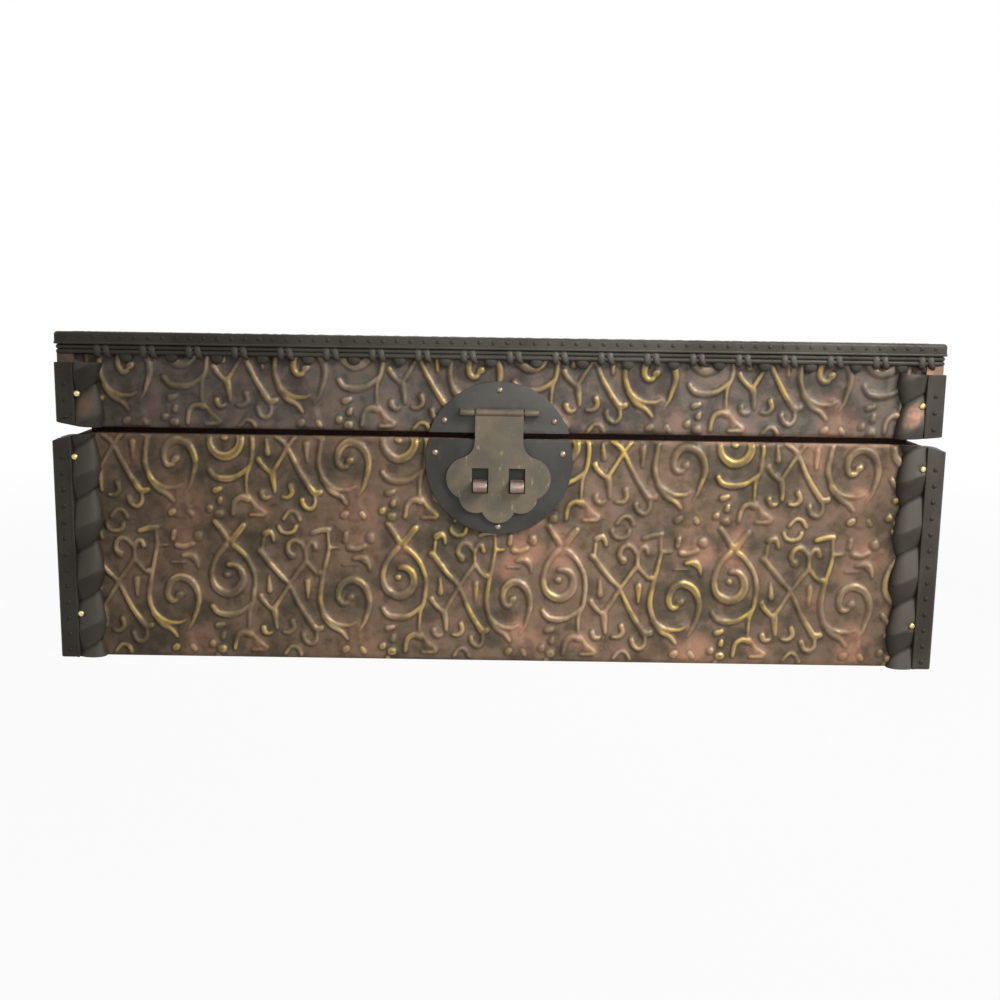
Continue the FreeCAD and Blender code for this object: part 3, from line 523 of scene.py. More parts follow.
def stained_fibreboard():
    """Pressed fibreboard with a brown stain: flecked with paler fibres, quite matt."""
    material, tree, place = new_material("stained_fibreboard")
    along = add(tree, "ShaderNodeMapping", {"Vector": place, "Scale": (0.35, 1.0, 1.0)})
    # The fibres are drawn coarser than they are, so that they show.
    fibre = add(tree, "ShaderNodeTexNoise", {"Vector": along, "Scale": per(1.4), "Detail": 5.0})
    share = add(tree, "ShaderNodeMapRange", [fibre, 0.3, 0.7], **SMOOTH)
    colour = add(tree, "ShaderNodeMix", [share, linear("#382c23"), linear("#55453a")], **COLOUR)
    normal = add(tree, "ShaderNodeBump", {"Height": fibre, "Distance": 0.1 * MM})
    surface = add(tree, "ShaderNodeBsdfPrincipled",
                  {"Base Color": colour, "Roughness": 0.85, "Specular IOR Level": 0.2, "Normal": normal})
    add(tree, "ShaderNodeOutputMaterial", [surface])
    return material


def flocked_card():
    """Card flocked with short dark brown fibres: soft, matt, and paler where the pile lies over."""
    material, tree, place = new_material("flocked_card")
    # The pile is drawn coarser than it is, so that it shows.
    pile = add(tree, "ShaderNodeTexNoise", {"Vector": place, "Scale": per(1.2), "Detail": 4.0})
    lay = add(tree, "ShaderNodeTexNoise", {"Vector": place, "Scale": per(40.0), "Detail": 2.0})
    share = add(tree, "ShaderNodeMapRange", [lay, 0.4, 0.65], **SMOOTH)
    colour = add(tree, "ShaderNodeMix", [share, linear("#402c27"), linear("#4d3832")], **COLOUR)
    share = add(tree, "ShaderNodeMapRange", [pile, 0.5, 0.75], **SMOOTH)
    colour = add(tree, "ShaderNodeMix", [share, colour, linear("#2a1c18")], **COLOUR)
    normal = add(tree, "ShaderNodeBump", {"Height": pile, "Distance": 0.25 * MM})
    surface = add(tree, "ShaderNodeBsdfPrincipled",
                  {"Base Color": colour, "Roughness": 0.95, "Specular IOR Level": 0.2,
                   "Sheen Weight": 0.3, "Normal": normal})
    add(tree, "ShaderNodeOutputMaterial", [surface])
    return material


# Mesh helpers

class Form:
    """Points, faces and a crown share for each point, gathered into one mesh.

    The crown share is above 0 where the piece is paler, from rubbing and painted highlight, and below 0 where
    it is darker, in notches and, as painted shade, on dots and studs.
    """

    def __init__(self):
        self.points = []
        self.faces = []
        self.crowns = []

    def grid(self, rows, crowns=None, round_rows=False):
        """Quads between rows of points. round_rows closes each row on itself, and both ends are capped."""
        start = len(self.points)
        size = len(rows[0])
        for index, points in enumerate(rows):
            self.points.extend(points)
            self.crowns.extend(crowns[index] if crowns else [0.0] * size)
        steps = size if round_rows else size - 1
        for line in range(len(rows) - 1):
            low, high = start + line * size, start + (line + 1) * size
            for place in range(steps):
                after = (place + 1) % size
                self.faces.append((low + place, low + after, high + after, high + place))
        if round_rows:
            last = start + (len(rows) - 1) * size
            self.faces.append(tuple(reversed(range(start, start + size))))
            self.faces.append(tuple(range(last, last + size)))

    def take(self, mesh, crown=0.0):
        """Adds a mesh's points and faces. The crown share is for a mesh that has none of its own."""
        start = len(self.points)
        own = mesh.attributes.get("crown")
        self.points.extend(v.co / MM for v in mesh.vertices)
        self.crowns.extend([item.value for item in own.data] if own else [crown] * len(mesh.vertices))
        self.faces.extend(tuple(start + i for i in face.vertices) for face in mesh.polygons)

    def mesh(self, name, sharp=40.0, merge=0.002):
        """The mesh, in metres, with its doubles merged and its faces pointing outwards."""
        made = bpy.data.meshes.new(name)
        made.from_pydata([Vector(p) * MM for p in self.points], [], self.faces)
        layer = made.attributes.new("crown", "FLOAT", "POINT")
        layer.data.foreach_set("value", self.crowns)
        work = bmesh.new()
        work.from_mesh(made)
        bmesh.ops.remove_doubles(work, verts=work.verts, dist=merge * MM)
        bmesh.ops.recalc_face_normals(work, faces=work.faces)
        work.to_mesh(made)
        work.free()
        made.polygons.foreach_set("use_smooth", [True] * len(made.polygons))
        made.set_sharp_from_angle(angle=math.radians(sharp))
        return made


def show(mesh, name, body, slot, material, *nodes):
    """Makes a mesh a piece that rides on a body and stands for these nodes."""
    piece = bpy.data.objects.new(name, mesh)
    mesh.materials.clear()
    mesh.materials.append(material)
    bpy.context.scene.collection.objects.link(piece)
    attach(piece, body)
    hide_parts(*nodes)
    return piece


def turned(quarter_turns):
    """A turn about the upright."""
    return Matrix.Rotation(math.radians(90 * quarter_turns), 4, "Z")


def facing(side):
    """Turns a shape drawn with x along a wall, y up and z outwards to face that side."""
    return turned(FACE_TURNS[side]) @ Matrix.Rotation(math.radians(90), 4, "X")


def shape_object(mesh):
    """A helper object for the geometry trees to read. It isn't in the scene."""
    return bpy.data.objects.new(mesh.name, mesh)


# Embossed skins

# One repeat of the scroll, in millimetres from the crossing of its bars. Each stroke has its half widths,
# spread evenly from its first end to its last, and its points.
SCROLL = {
    "bar": ((1.5, 1.1, 1.6), [(-12.5, 15), (-5, 5.5), (0, 0), (5.5, -11), (12, -21)]),
    "bar_head": ((1.9, 1.9), [(-12.7, 15.2), (-12.2, 14.6)]),
    "bar_foot": ((1.7, 1.5), [(12, -21), (14.6, -20.2)]),
    "bar_hook": ((0.9, 1.1, 1.3), [(12.2, -22), (12.3, -25.6), (10, -28), (7.2, -26.5), (6.2, -23.6)]),
    "cross": ((1.1, 0.9, 1.2), [(7.8, 11), (0, 0), (-3.5, -6), (-7, -11.5)]),
    "fork_arm": ((1.4, 1.1), [(-13, -5.5), (-11.5, -8.2), (-7.6, -12)]),
    "fork_stem": ((1.9, 0.9), [(-7, -11.5), (-6.3, -16), (-5.9, -20.6)]),
    "fork_left_hook": ((1.5, 0.9), [(-12, -20.5), (-11.5, -22.5), (-10, -23.3), (-8.3, -22.5)]),
    "fork_right_hook": ((1.4, 0.9), [(1.2, -17.3), (2, -20.5), (-0.2, -22.7), (-2.8, -22.4)]),
    "left_horn": ((0.9, 1.2, 1.4), [(7.7, 16), (5.5, 19.1), (2.8, 20.6), (0.2, 19), (-0.5, 16), (0.6, 13.8)]),
    "left_horn_eye": ((1.8, 1.8), [(1.0, 13.5), (1.4, 13.2)]),
    "right_horn": ((0.9, 1.3), [(7.7, 16), (9.4, 19.5), (11.5, 19.4), (12.3, 17)]),
    "horn_stem": ((0.9, 1.1), [(7.7, 16.2), (7.9, 11)]),
    "short_leg": ((1.2, 0.8), [(8, 10.8), (10.5, 7.6), (13, 5)]),
    "leg_ring": ((1.5, 1.5), [(14, 5.6), (14.4, 5.4)]),
    "loop": ((0.8, 1.1, 1.4, 1.3, 0.6), [
        (18, 25), (18.3, 17), (17, 10), (15, 1), (14.2, -7.5), (16.5, -14.5), (21.5, -18.3), (27, -18.8),
        (31, -17.2),
    ]),
    "loop_tail": ((1.4, 1.0), [(15.8, -14.5), (19.4, -19.5), (23.7, -22), (26.5, -25.2)]),
    "loop_flag": ((1.2, 1.6), [(10.5, 24), (14.5, 25.4), (18.2, 25.5)]),
    "loop_branch": ((1.0, 0.7), [(18.5, 17.6), (23, 17.6)]),
    "large_spiral": ((1.2, 1.6, 2.0, 1.4, 0.5), [
        (26.6, -8.2), (24.2, -8.6), (22.6, -5.6), (23.3, -1), (26, 2), (29.5, 2.7), (33.7, 0.6), (36.2, -3.8),
        (36.6, -9), (35.2, -14.5), (33.8, -18.4), (31.6, -21.8),
    ]),
    "large_spiral_eye": ((1.7, 1.7), [(27.6, -6), (28.4, -5.5)]),
    "bead": ((2.3, 2.3), [(37.2, 22.4), (37.2, 21.9)]),
    "small_bead": ((1.3, 1.2), [(26.2, 24), (25.6, 20.5)]),
    "shelf": ((0.6, 0.6), [(24.5, 9.7), (31, 9.8)]),
    "crescent": ((1.0, 1.8, 0.6), [(29.8, 12.6), (32.3, 13.1), (34.6, 12.4), (36.4, 10), (37, 7)]),
    "cloud": ((1.5, 1.3), [(27.6, 17.5), (30.5, 17), (34.6, 18.4)]),
    "small_spiral": ((1.4, 1.3, 2.1, 1.9, 1.3), [
        (49.9, 18), (46.6, 14.2), (44.2, 9.8), (43, 4), (44.6, -1.4), (49.4, -4.5), (54.3, -3), (57.1, 1.2),
        (56.6, 5.8), (53.8, 8.6), (50.6, 8.7),
    ]),
    "small_spiral_eye": ((1.5, 1.5), [(49.7, 4.2), (50.2, 4)]),
    "right_line": ((1.3, 1.2, 0.8), [
        (53.5, 18), (57.3, 14.6), (60.6, 9.8), (62.6, 2.9), (61.8, -7), (59.9, -13), (59.6, -21),
    ]),
    "smile": ((0.9, 1.7, 1.2), [(61, -9), (55.5, -13.3), (50.3, -14.5), (45.2, -13.6), (42.8, -10.5)]),
    "upper_bead": ((1.6, 1.3), [(45.2, -20), (47.6, -19.2)]),
    "lower_bead": ((1.5, 1.2), [(47.4, -25.2), (47.8, -23.6)]),
    "low_bead": ((1.7, 1.7), [(42.6, -28.5), (42.9, -28.1)]),
    "arch": ((1.0, 1.3, 1.7), [(53, -30.9), (54, -25.2), (57, -22.9), (60.2, -23.6)]),
    "bell": ((0.9, 1.0), [(60.4, -22), (63.5, -26.4), (67.8, -30)]),
    "bell_foot": ((0.9, 0.9), [(61, -31), (67, -31)]),
    "left_arm": ((1.3, 1.6), [(45, 28.8), (47.8, 24.8), (50.6, 20.5)]),
    "right_arm": ((1.6, 1.6), [(57.8, 27), (55.4, 24), (52.8, 20.5)]),
    "arm_bead": ((2.1, 2.1), [(46.8, 32.2), (47.3, 32.2)]),
    "cane": ((0.9, 0.9), [(-11.9, 16), (-11.4, 21)]),
    "cane_hook": ((1.6, 0.9), [(-11, 23.4), (-8.8, 24.6), (-7.2, 22.8), (-6.7, 20.3)]),
    "frown": ((0.9, 1.1), [(-2.2, 30.3), (0.8, 33.8), (3.8, 33), (5.4, 30)]),
    "small_smile": ((1.0, 1.1), [(-4.4, 27.2), (-3.4, 24.8), (-0.4, 23.8), (2.6, 24.8), (3.6, 27.2)]),
    "left_tear": ((0.7, 1.5), [(-9.3, 4.1), (-8.8, -2.8)]),
    "right_tear": ((1.6, 0.7), [(8.6, 1.6), (8.7, -6.4)]),
    "left_foot": ((1.7, 1.6), [(25.2, -30.6), (26.4, -29.6)]),
    "right_foot": ((1.2, 1.3), [(33.2, -29.4), (34.4, -31.4)]),
}
# Filled places between the strokes, drawn in the same way.
FILLS = {
    "skirt": ((3.6, 3.4, 4.6), [(29.8, -20), (29.8, -24.5), (29.9, -29)]),
    "neck": ((2.0, 3.0), [(51.7, 21.5), (51.7, 18.6)]),
    "collar": ((1.0, 1.4, 1.0), [(47.4, 14.4), (49.3, 16), (51.8, 16.7), (54.3, 16), (56.6, 14.4)]),
    "bell": ((0.8, 2.0), [(61.4, -24.6), (63.6, -29)]),
    "fork": ((1.2, 1.6), [(-8.6, -9.6), (-7.2, -12.2)]),
    "crossing": ((1.4, 1.4), [(-0.3, 0.4), (0.4, -1.4)]),
}
# Places where copper was rubbed over.
PADS = {
    "skirt_pad": ((5.5, 6.5), [(29.5, -20), (30, -30)]),
    "side_pad": ((4.0, 5.0), [(37, -24), (38.5, -31)]),
    "neck_pad": ((4.0, 4.5), [(51.7, 25), (51.7, 14)]),
    "cloud_pad": ((4.0, 6.0, 6.0), [(22.5, 9), (27, 17), (36.5, 17.5)]),
    "bell_pad": ((3.5, 4.0), [(61, -25), (65, -29)]),
    "tear_pad": ((3.5, 2.5), [(7.2, 1), (8.6, -6)]),
}


def spread(values, share):
    """The value at a share of the way along a list, between its nearest two."""
    place = share * (len(values) - 1)
    first = min(int(place), len(values) - 2)
    return values[first] + (values[first + 1] - values[first]) * (place - first)


def drawn_strokes(name, strokes):
    """Strokes as a curve, each point carrying its half width."""
    curve = bpy.data.curves.new(name, "CURVE")
    for widths, points in strokes.values():
        spline = curve.splines.new("POLY")
        spline.points.add(len(points) - 1)
        for index, (x, y) in enumerate(points):
            spline.points[index].co = (x * MM, y * MM, 0.0, 1.0)
            spline.points[index].radius = spread(widths, index / (len(points) - 1)) * MM
    return shape_object(curve)


def closed_sheet(mesh):
    """Turns a pressed sheet's edges down to its flat back and closes it."""
    work = bmesh.new()
    work.from_mesh(mesh)
    rim = [edge for edge in work.edges if edge.is_boundary]
    turned_down = bmesh.ops.extrude_edge_only(work, edges=rim)["geom"]
    for item in turned_down:
        if isinstance(item, bmesh.types.BMVert):
            item.co.z = -BACK_LAP * MM
    back_rim = [edge for edge in work.edges if edge.is_boundary]
    bmesh.ops.holes_fill(work, edges=back_rim, sides=0)
    bmesh.ops.recalc_face_normals(work, faces=work.faces)
    work.to_mesh(mesh)
    work.free()
    return mesh


def embossed_skin(name, body, turn, size, start, material, step=PANEL_STEP, slip=0.0):
    """A skin of that width and height. turn takes its flat sheet to its place."""
    width, height = size
    mesh = grown(pressed_sheet, **{
        "Width": width * MM, "Height": height * MM, "Columns": round(width / step),
        "Rows": round(height / step), "Strokes": scroll, "Fills": fills, "Pads": pads,
        "Repeat": (REPEAT[0] * MM, REPEAT[1] * MM, 1.0), "Start": (start[0] * MM, start[1] * MM, 0.0),
        "Ground": SKIN_GROUND * MM, "Relief": SKIN_RELIEF * MM, "Flank": FLANK * MM, "Fill Rise": FILL_RISE,
        "Pad Flank": PAD_FLANK * MM, "Roll": EDGE_ROLL * MM, "Waver": WAVER * MM, "Swell": SWELL * MM,
        "Slip": slip * MM, "Material": material,
    })
    closed_sheet(mesh)
    mesh.transform(turn)
    return show(mesh, f"{name}_embossing", body, "embossed_skin", material, name)


def wall_skins(part, heights, start, material):
    """Skins on four walls. The side ones stand between the front and back ones."""
    thick = SKIN_GROUND + SKIN_RELIEF
    half = HALVES[part]
    middle = (heights[0] + heights[1]) / 2
    for side in FACE_TURNS:
        across = side in ("front", "back")
        along, out = half if across else half[::-1]
        width = 2 * along if across else 2 * (along - thick)
        turn = Matrix.Translation((0.0, 0.0, middle * MM)) @ facing(side)
        turn = turn @ Matrix.Translation((0.0, 0.0, (out - thick) * MM))
        slip = FRONT_SLIP if (part, side) == ("base", "front") else 0.0
        skin = embossed_skin(f"{part}_{side}_skin", part, turn, (width, heights[1] - heights[0]),
                             (start[0], start[1] - middle), material, slip=slip)
        wear_corners(skin.data, part)


# Worn corners

def worn(inset, depth, reach):
    """How far an edge has worn down at that distance in from the corner."""
    share = max(0.0, reach - inset) / (reach + BAND_THICK)
    return depth * share ** 2


def wear_corners(mesh, part):
    """Wears down the base's top or the lid's foot towards the four corners."""
    half = HALVES[part]
    for vertex in mesh.vertices:
        x, y, z = vertex.co / MM
        corner = f"{'front' if y < 0 else 'back'}_{'left' if x < 0 else 'right'}"
        base_worn, lid_worn = CORNER_WEAR[corner]
        depth = base_worn if part == "base" else lid_worn
        drop = min(worn(half[0] - abs(x), depth, WORN_REACH), worn(half[1] - abs(y), depth, SIDE_WORN_REACH))
        off_edge = BASE_TOP - z if part == "base" else z - LID_LOW
        drop *= max(0.0, 1 - off_edge / WORN_HEIGHT)
        vertex.co.z += (-drop if part == "base" else drop) * MM


def worn_board(part, side, material):
    """A wall board, cut across near its ends so that its corners can wear down."""
    node = f"{part}_{side}_board"
    half = HALVES[part]
    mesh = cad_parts[node].data.copy()
    work = bmesh.new()
    work.from_mesh(mesh)
    cuts = ((Vector((1, 0, 0)), half[0], WORN_REACH), (Vector((0, 1, 0)), half[1], SIDE_WORN_REACH))
    for cut, far, reach in cuts:
        for share in WEAR_CUTS:
            for end in (-1, 1):
                place = cut * end * (far - share * reach) * MM
                whole = work.verts[:] + work.edges[:] + work.faces[:]
                bmesh.ops.bisect_plane(work, geom=whole, plane_co=place, plane_no=cut)
    work.to_mesh(mesh)
    work.free()
    wear_corners(mesh, part)
    return show(mesh, f"{node}_worn", part, "board", material, node)


# Corner trims

def arc(middle, radii, start, end, steps):
    """Points round part of an ellipse, from one angle to another in degrees."""
    turns = [math.radians(start + (end - start) * step / steps) for step in range(steps + 1)]
    return [(middle[0] + radii[0] * math.cos(t), middle[1] + radii[1] * math.sin(t)) for t in turns]


def trim_rope(form, leg, heights, wear, reach_in, phase, tacks):
    """A half-round rope beside the band, on the first or second leg of the corner.

    Each strand has a broad upper facet, which is rubbed and painted paler as a highlight, and a short lower
    one.
    The crown share is below 0 in the notches, which are coloured darker. Tacks have flat seats.
    """
    middle = (ROPE_INNER + ROPE_OUTER) / 2
    half = (ROPE_OUTER - ROPE_INNER) / 2
    across_steps = 18
    up_steps = round((heights[1] - heights[0]) / ROPE_STEP)
    rows, crowns = [], []
    for up in range(up_steps + 1):
        points, shares = [], []
        for step in range(across_steps + 1):
            turn = math.pi * step / across_steps
            reach = -math.cos(turn) if leg == 0 else math.cos(turn)
            outer = (reach + 1) / 2
            low = heights[0] + worn(middle + reach * half, wear[0], reach_in)
            high = heights[1] - worn(middle + reach * half, wear[1], reach_in)
            z = low + (high - low) * up / up_steps
            climb = ROPE_CLIMB * (outer if leg == 0 else 1 - outer)
            strand = ((z - climb - phase) / ROPE_PITCH) % 1
            facet = (strand - ROPE_RIDGE) / (1 - ROPE_RIDGE)
            lobe = min(strand / ROPE_RIDGE, 1 - facet) ** ROPE_ROUNDNESS
            notch = ROPE_NOTCH * (1 - lobe)
            inset = middle + reach * half * (1 - notch * outer)
            bulge = math.sin(turn) ** ROPE_FULLNESS * (1 - notch)
            out = (ROPE_RISE + SKIN_RELIEF) * bulge - SKIN_RELIEF
            off_tack = min(math.hypot(inset - TACK_INSET, z - tack) for tack in tacks)
            out = min(out, TACK_FOOT + max(0.0, off_tack - TACK_SEAT))
            points.append((inset, -out, z) if leg == 0 else (-out, inset, z))
            # Darker in the notches.
            notch_darkening = max(0.0, 1 - min(strand, 1 - strand) / NOTCH_DARKENING)
            # The upper facet, which faces the light, is rubbed and painted paler as a highlight.
            rubbed = 0.0
            if facet > 0:
                wave = math.sin(math.pi * (RUB_AND_HIGHLIGHT_WAVE[0] + RUB_AND_HIGHLIGHT_WAVE[1] * facet))
                rubbed = min(1.0, facet / CROWN_FADE) * (wave * math.sin(turn)) ** RUB_AND_HIGHLIGHT_FULLNESS
            shares.append(rubbed - notch_darkening)
        rows.append(points)
        crowns.append(shares)
    form.grid(rows, crowns, round_rows=True)


def trim_collar(form, heights):
    """The lid's skin folded round the corner above a trim and rubbed there."""
    out, end = -COLLAR_OUT, BAND_INNER
    plan = [(end, out), (out, out), (out, end), (0.0, end), (0.0, 0.0), (end, 0.0)]
    rows = [[(x, y, z) for x, y in plan] for z in heights]
    form.grid(rows, [[COLLAR_CROWN] * len(plan)] * len(rows), round_rows=True)


def trim_band(heights, wear, reaches):
    """The band round the corner, with a raised rim along both edges."""
    face, rim = -BAND_THICK, -BAND_THICK - RIM_RISE
    rim_foot = BAND_INNER - RIM_WIDTH
    middle = BAND_RADIUS - BAND_THICK
    plan = [(BAND_INNER, rim), (rim_foot, rim), (rim_foot - RIM_RISE, face)]
    plan.extend(arc((middle, middle), (BAND_RADIUS, BAND_RADIUS), 270, 180, 6))
    plan.extend([(face, rim_foot - RIM_RISE), (rim, rim_foot), (rim, BAND_INNER)])
    plan.extend([(SKIN_RELIEF, BAND_INNER), (SKIN_RELIEF, SKIN_RELIEF), (BAND_INNER, SKIN_RELIEF)])
    form = Form()
    drops = [min(worn(inset, 1.0, reach) for inset, reach in zip(point, reaches)) for point in plan]
    low = [(x, y, heights[0] + wear[0] * drop) for (x, y), drop in zip(plan, drops)]
    high = [(x, y, heights[1] - wear[1] * drop) for (x, y), drop in zip(plan, drops)]
    form.grid([low, high], round_rows=True)
    return softened(form.mesh("trim_band"), BAND_EASE)


def softened(mesh, width):
    """A mesh with its sharp edges rounded."""
    holder = bpy.data.objects.new(mesh.name, mesh)
    bpy.context.scene.collection.objects.link(holder)
    rounding = holder.modifiers.new("rounding", "BEVEL")
    rounding.width = width * MM
    rounding.segments = 3
    rounding.limit_method = "ANGLE"
    rounding.angle_limit = math.radians(SHARP)
    graph = bpy.context.evaluated_depsgraph_get()
    made = bpy.data.meshes.new_from_object(holder.evaluated_get(graph))
    bpy.data.objects.remove(holder)
    return made


def dome(name, radius, rise, segments=8, rings=6):
    """A small raised dot, lying in its own x and y."""
    work = bmesh.new()
    bmesh.ops.create_uvsphere(work, u_segments=segments, v_segments=rings, radius=1.0)
    bmesh.ops.scale(work, vec=(radius * MM, radius * MM, rise * MM), verts=work.verts)
    mesh = bpy.data.meshes.new(name)
    work.to_mesh(mesh)
    work.free()
    return shape_object(mesh)


def row(shape, start, end, count, turn, material):
    """A row of one shape from start to end, in millimetres, turned by a matrix."""
    return grown(
        row_of_shapes, Shape=shape, Start=[v * MM for v in start], End=[v * MM for v in end], Count=count,
        Turn=list(turn.to_euler()), Material=material,
    )


def corner_trim(name, body, quarter_turns, heights, wear, phases, tacks, dots, material):
    """A moulding on one corner: the band, a rope along each side of it and dots on the band."""
    form = Form()
    reaches = (WORN_REACH, SIDE_WORN_REACH) if quarter_turns % 2 == 0 else (SIDE_WORN_REACH, WORN_REACH)
    form.take(trim_band(heights, wear, reaches))
    for leg, phase in enumerate(phases):
        trim_rope(form, leg, heights, wear, reaches[leg], phase, tacks)
    if body == "lid":
        trim_collar(form, (heights[1] - BAND_THICK, TRIM_TOP + REED_LOW + REED_RISE))
    dot_low, dot_count = dots
    dot_high = dot_low + DOT_PITCH * (dot_count - 1)
    face = -BAND_THICK
    for (x, y), side in (((DOT_INSET, face), "front"), ((face, DOT_INSET), "left")):
        line = row(trim_dot, (x, y, dot_low), (x, y, dot_high), dot_count, facing(side), material)
        # The dots are coloured darker, a painted shade.
        form.take(line, crown=DOT_CROWN)
    mesh = form.mesh(f"{name}_moulding")
    signs = ((-1, -1), (1, -1), (1, 1), (-1, 1))[quarter_turns]
    half = HALVES[body]
    corner = Vector((signs[0] * half[0] * MM, signs[1] * half[1] * MM, 0.0))
    mesh.transform(Matrix.Translation(corner) @ turned(quarter_turns))
    return show(mesh, f"{name}_moulding", body, "moulded_trim", material, name)


def corner_trims():
    """The eight corner trims. The lid's front right one is rubbed most."""
    for turns, (corner, (base_worn, lid_worn)) in enumerate(CORNER_WEAR.items()):
        corner_trim(f"base_corner_trim_{corner}", "base", turns, (0.0, BASE_TOP), (0.0, base_worn),
                    BASE_ROPE_PHASES, BASE_TACKS, BASE_DOTS, dark_moulding)
        material = rubbed_moulding if corner == "front_right" else handled_moulding
        corner_trim(f"lid_corner_trim_{corner}", "lid", turns, (LID_LOW, LID_TRIM_TOP), (lid_worn, 0.0),
                    LID_ROPE_PHASES, LID_TACKS, LID_DOTS, material)


# Trims round the lid's top edge

def tie_bar(form, x, curl, steps=7, around=6):
    """One bar of a tie: a half-round strap down the reeds, its lower end rounded and turned aside."""
    rows, crowns = [], []
    for step in range(steps + 1):
        share = step / steps
        past = max(0.0, (share - 1 + TIE_ROUNDING) / TIE_ROUNDING)
        full = (1 - past ** 2) ** 0.5 if step < steps else TIE_END
        bulge = (TIE_TOP - TIE_FOOT) * full * math.sin(math.pi * (TIE_ARCH[0] + TIE_ARCH[1] * share))
        points, shares = [], []
        for part in range(around + 1):
            turn = math.pi * part / around
            across = x + curl * share ** 3 - math.cos(turn) * TIE_WIDTH / 2 * full
            points.append((across, -TIE_LENGTH * share, TIE_FOOT + bulge * math.sin(turn) ** TIE_FULLNESS))
            # Paler along the crest, partly rubbing and partly a painted highlight that fades towards the
            # lower end.
            shares.append(math.sin(turn) * (1 - TIE_HIGHLIGHT_FADE * share))
        rows.append(points)
        crowns.append(shares)
    form.grid(rows, crowns, round_rows=True)


def tie():
    """Two bars side by side, the right one curling further. Y is 0 at the band's lower edge."""
    form = Form()
    for side, curl in zip((-1, 1), TIE_CURLS):
        tie_bar(form, side * TIE_SPACING / 2, curl)
    return form.mesh("tie")


def top_section():
    """The trim's section: inset from the skin's face, height from the trim's top, and crown."""
    edge, ease = TOP_EDGE_RADIUS, TOP_INNER_EASE
    plain = [(TOP_LEG_WIDTH, -TOP_LEG_THICK), (TOP_LEG_WIDTH, -ease), (TOP_LEG_WIDTH - ease, 0.0)]
    plain.extend(arc((edge - TOP_BAND_THICK, -edge), (edge, edge), 90, 180, 4))
    lip_top = LIP_HEIGHT - TOP_BAND_HEIGHT
    plain.append((-TOP_BAND_THICK, lip_top))
    # Crowns here make the lip and the reeds' fronts paler: partly rubbing, partly painted highlight.
    points = [(*point, TOP_CROWN) for point in plain]
    lip = arc((-TOP_BAND_THICK, lip_top - LIP_HEIGHT / 2), (LIP_RISE, LIP_HEIGHT / 2), 90, 270, 4)
    points.extend((inset, height, LIP_CROWN) for inset, height in lip[1:])
    for middle in REED_MIDDLES:
        for inset, height in arc((-REED_FACE, middle), (REED_RISE, REED_HALF), 90, 270, 6):
            points.append((inset, height, REED_CROWN * (-inset - REED_FACE) / REED_RISE))
    points.extend([(REED_BACK, REED_LOW, 0.0), (REED_BACK, -TOP_LEG_THICK, 0.0)])
    return points


def top_run(half, inset):
    """Points along one side's trim for one inset, from mitre to mitre, round both corners."""
    pulled = max(TOP_CORNER_RADIUS - TOP_BAND_THICK, inset)
    radius = max(0.0, TOP_CORNER_RADIUS - TOP_BAND_THICK - inset)
    middle = (half[0] - pulled, half[1] - pulled)
    right = arc((middle[0], -middle[1]), (radius, radius), -90, -45, 3)
    return [(-x, y) for x, y in reversed(right)] + right


def top_trim(side, material):
    """The moulding on one side of the lid's top edge, with its studs, reeds and ties."""
    half = LID_HALF if side in ("front", "back") else LID_HALF[::-1]
    form = Form()
    section = top_section()
    lines = [top_run(half, inset) for inset, _, _ in section]
    rows = []
    for step in range(len(lines[0])):
        rows.append([(*line[step], TRIM_TOP + height) for line, (_, height, _) in zip(lines, section)])
    form.grid(rows, [[crown for _, _, crown in section]] * len(rows), round_rows=True)
    outer = half[0] + TOP_BAND_THICK
    upright = facing("front")
    studs = ((trim_stud, STUD_PITCH, -half[1] - TOP_BAND_THICK, TRIM_TOP + STUD_LINE, upright),
             (top_stud, TOP_STUD_PITCH, -half[1] + TOP_STUD_INSET, TRIM_TOP, Matrix.Identity(4)))
    for shape, pitch, y, z, turn in studs:
        count = int((2 * outer - pitch) / pitch)
        reach = pitch * (count - 1) / 2
        # The studs are coloured darker, a painted shade.
        form.take(row(shape, (-reach, y, z), (reach, y, z), count, turn, material), crown=STUD_CROWN)
    last = FRONT_TIE_LAST - (LID_HALF[0] - half[0])
    count = int((last + outer - TIE_SPACING) / TIE_PITCH) + 1
    first = last - TIE_PITCH * (count - 1)
    line = (-half[1], TRIM_TOP - TOP_BAND_HEIGHT)
    form.take(row(trim_tie, (first, *line), (last, *line), count, upright, material))
    between = TIE_PITCH / 2
    line = (-half[1], TRIM_TOP - TOP_BAND_HEIGHT + DROP_MIDDLE)
    drops = row(trim_drop, (first + between, *line), (last - between, *line), count - 1, upright, material)
    form.take(drops, crown=DROP_CROWN)
    name = f"lid_top_trim_{side}"
    mesh = form.mesh(f"{name}_moulding")
    mesh.transform(turned(FACE_TURNS[side]))
    return show(mesh, f"{name}_moulding", "lid", "moulded_trim", material, name)


# Lock, hinges, boards and lining

def eased_mesh(node):
    """A node's own shape with its sharp edges eased."""
    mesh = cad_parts[node].data.copy()
    work = bmesh.new()
    work.from_mesh(mesh)
    bmesh.ops.remove_doubles(work, verts=work.verts, dist=WELD * MM)
    bmesh.ops.dissolve_limit(work, angle_limit=math.radians(FLAT), verts=work.verts, edges=work.edges)
    work.to_mesh(mesh)
    work.free()
    made = softened(mesh, EDGE_EASE)
    made.polygons.foreach_set("use_smooth", [True] * len(made.polygons))
    made.set_sharp_from_angle(angle=math.radians(SHARP))
    return made


def eased(node, body, slot, material):
    """Shows a node with its sharp edges eased."""
    return show(eased_mesh(node), f"{node}_eased", body, slot, material, node)


def upper_plate(plate_finish, ear_finish):
    """The lid's half of the lock plate. Its ears, which stand out from it, are rubbed like the hasp."""
    plate = eased("lock_upper_plate", "lid", "lock_plate", plate_finish)
    plate.data.materials.append(ear_finish)
    face = -(LID_HALF[1] + PLATE_THICK) * MM
    for polygon in plate.data.polygons:
        polygon.material_index = int(polygon.center.y < face - EAR_STAND * MM)


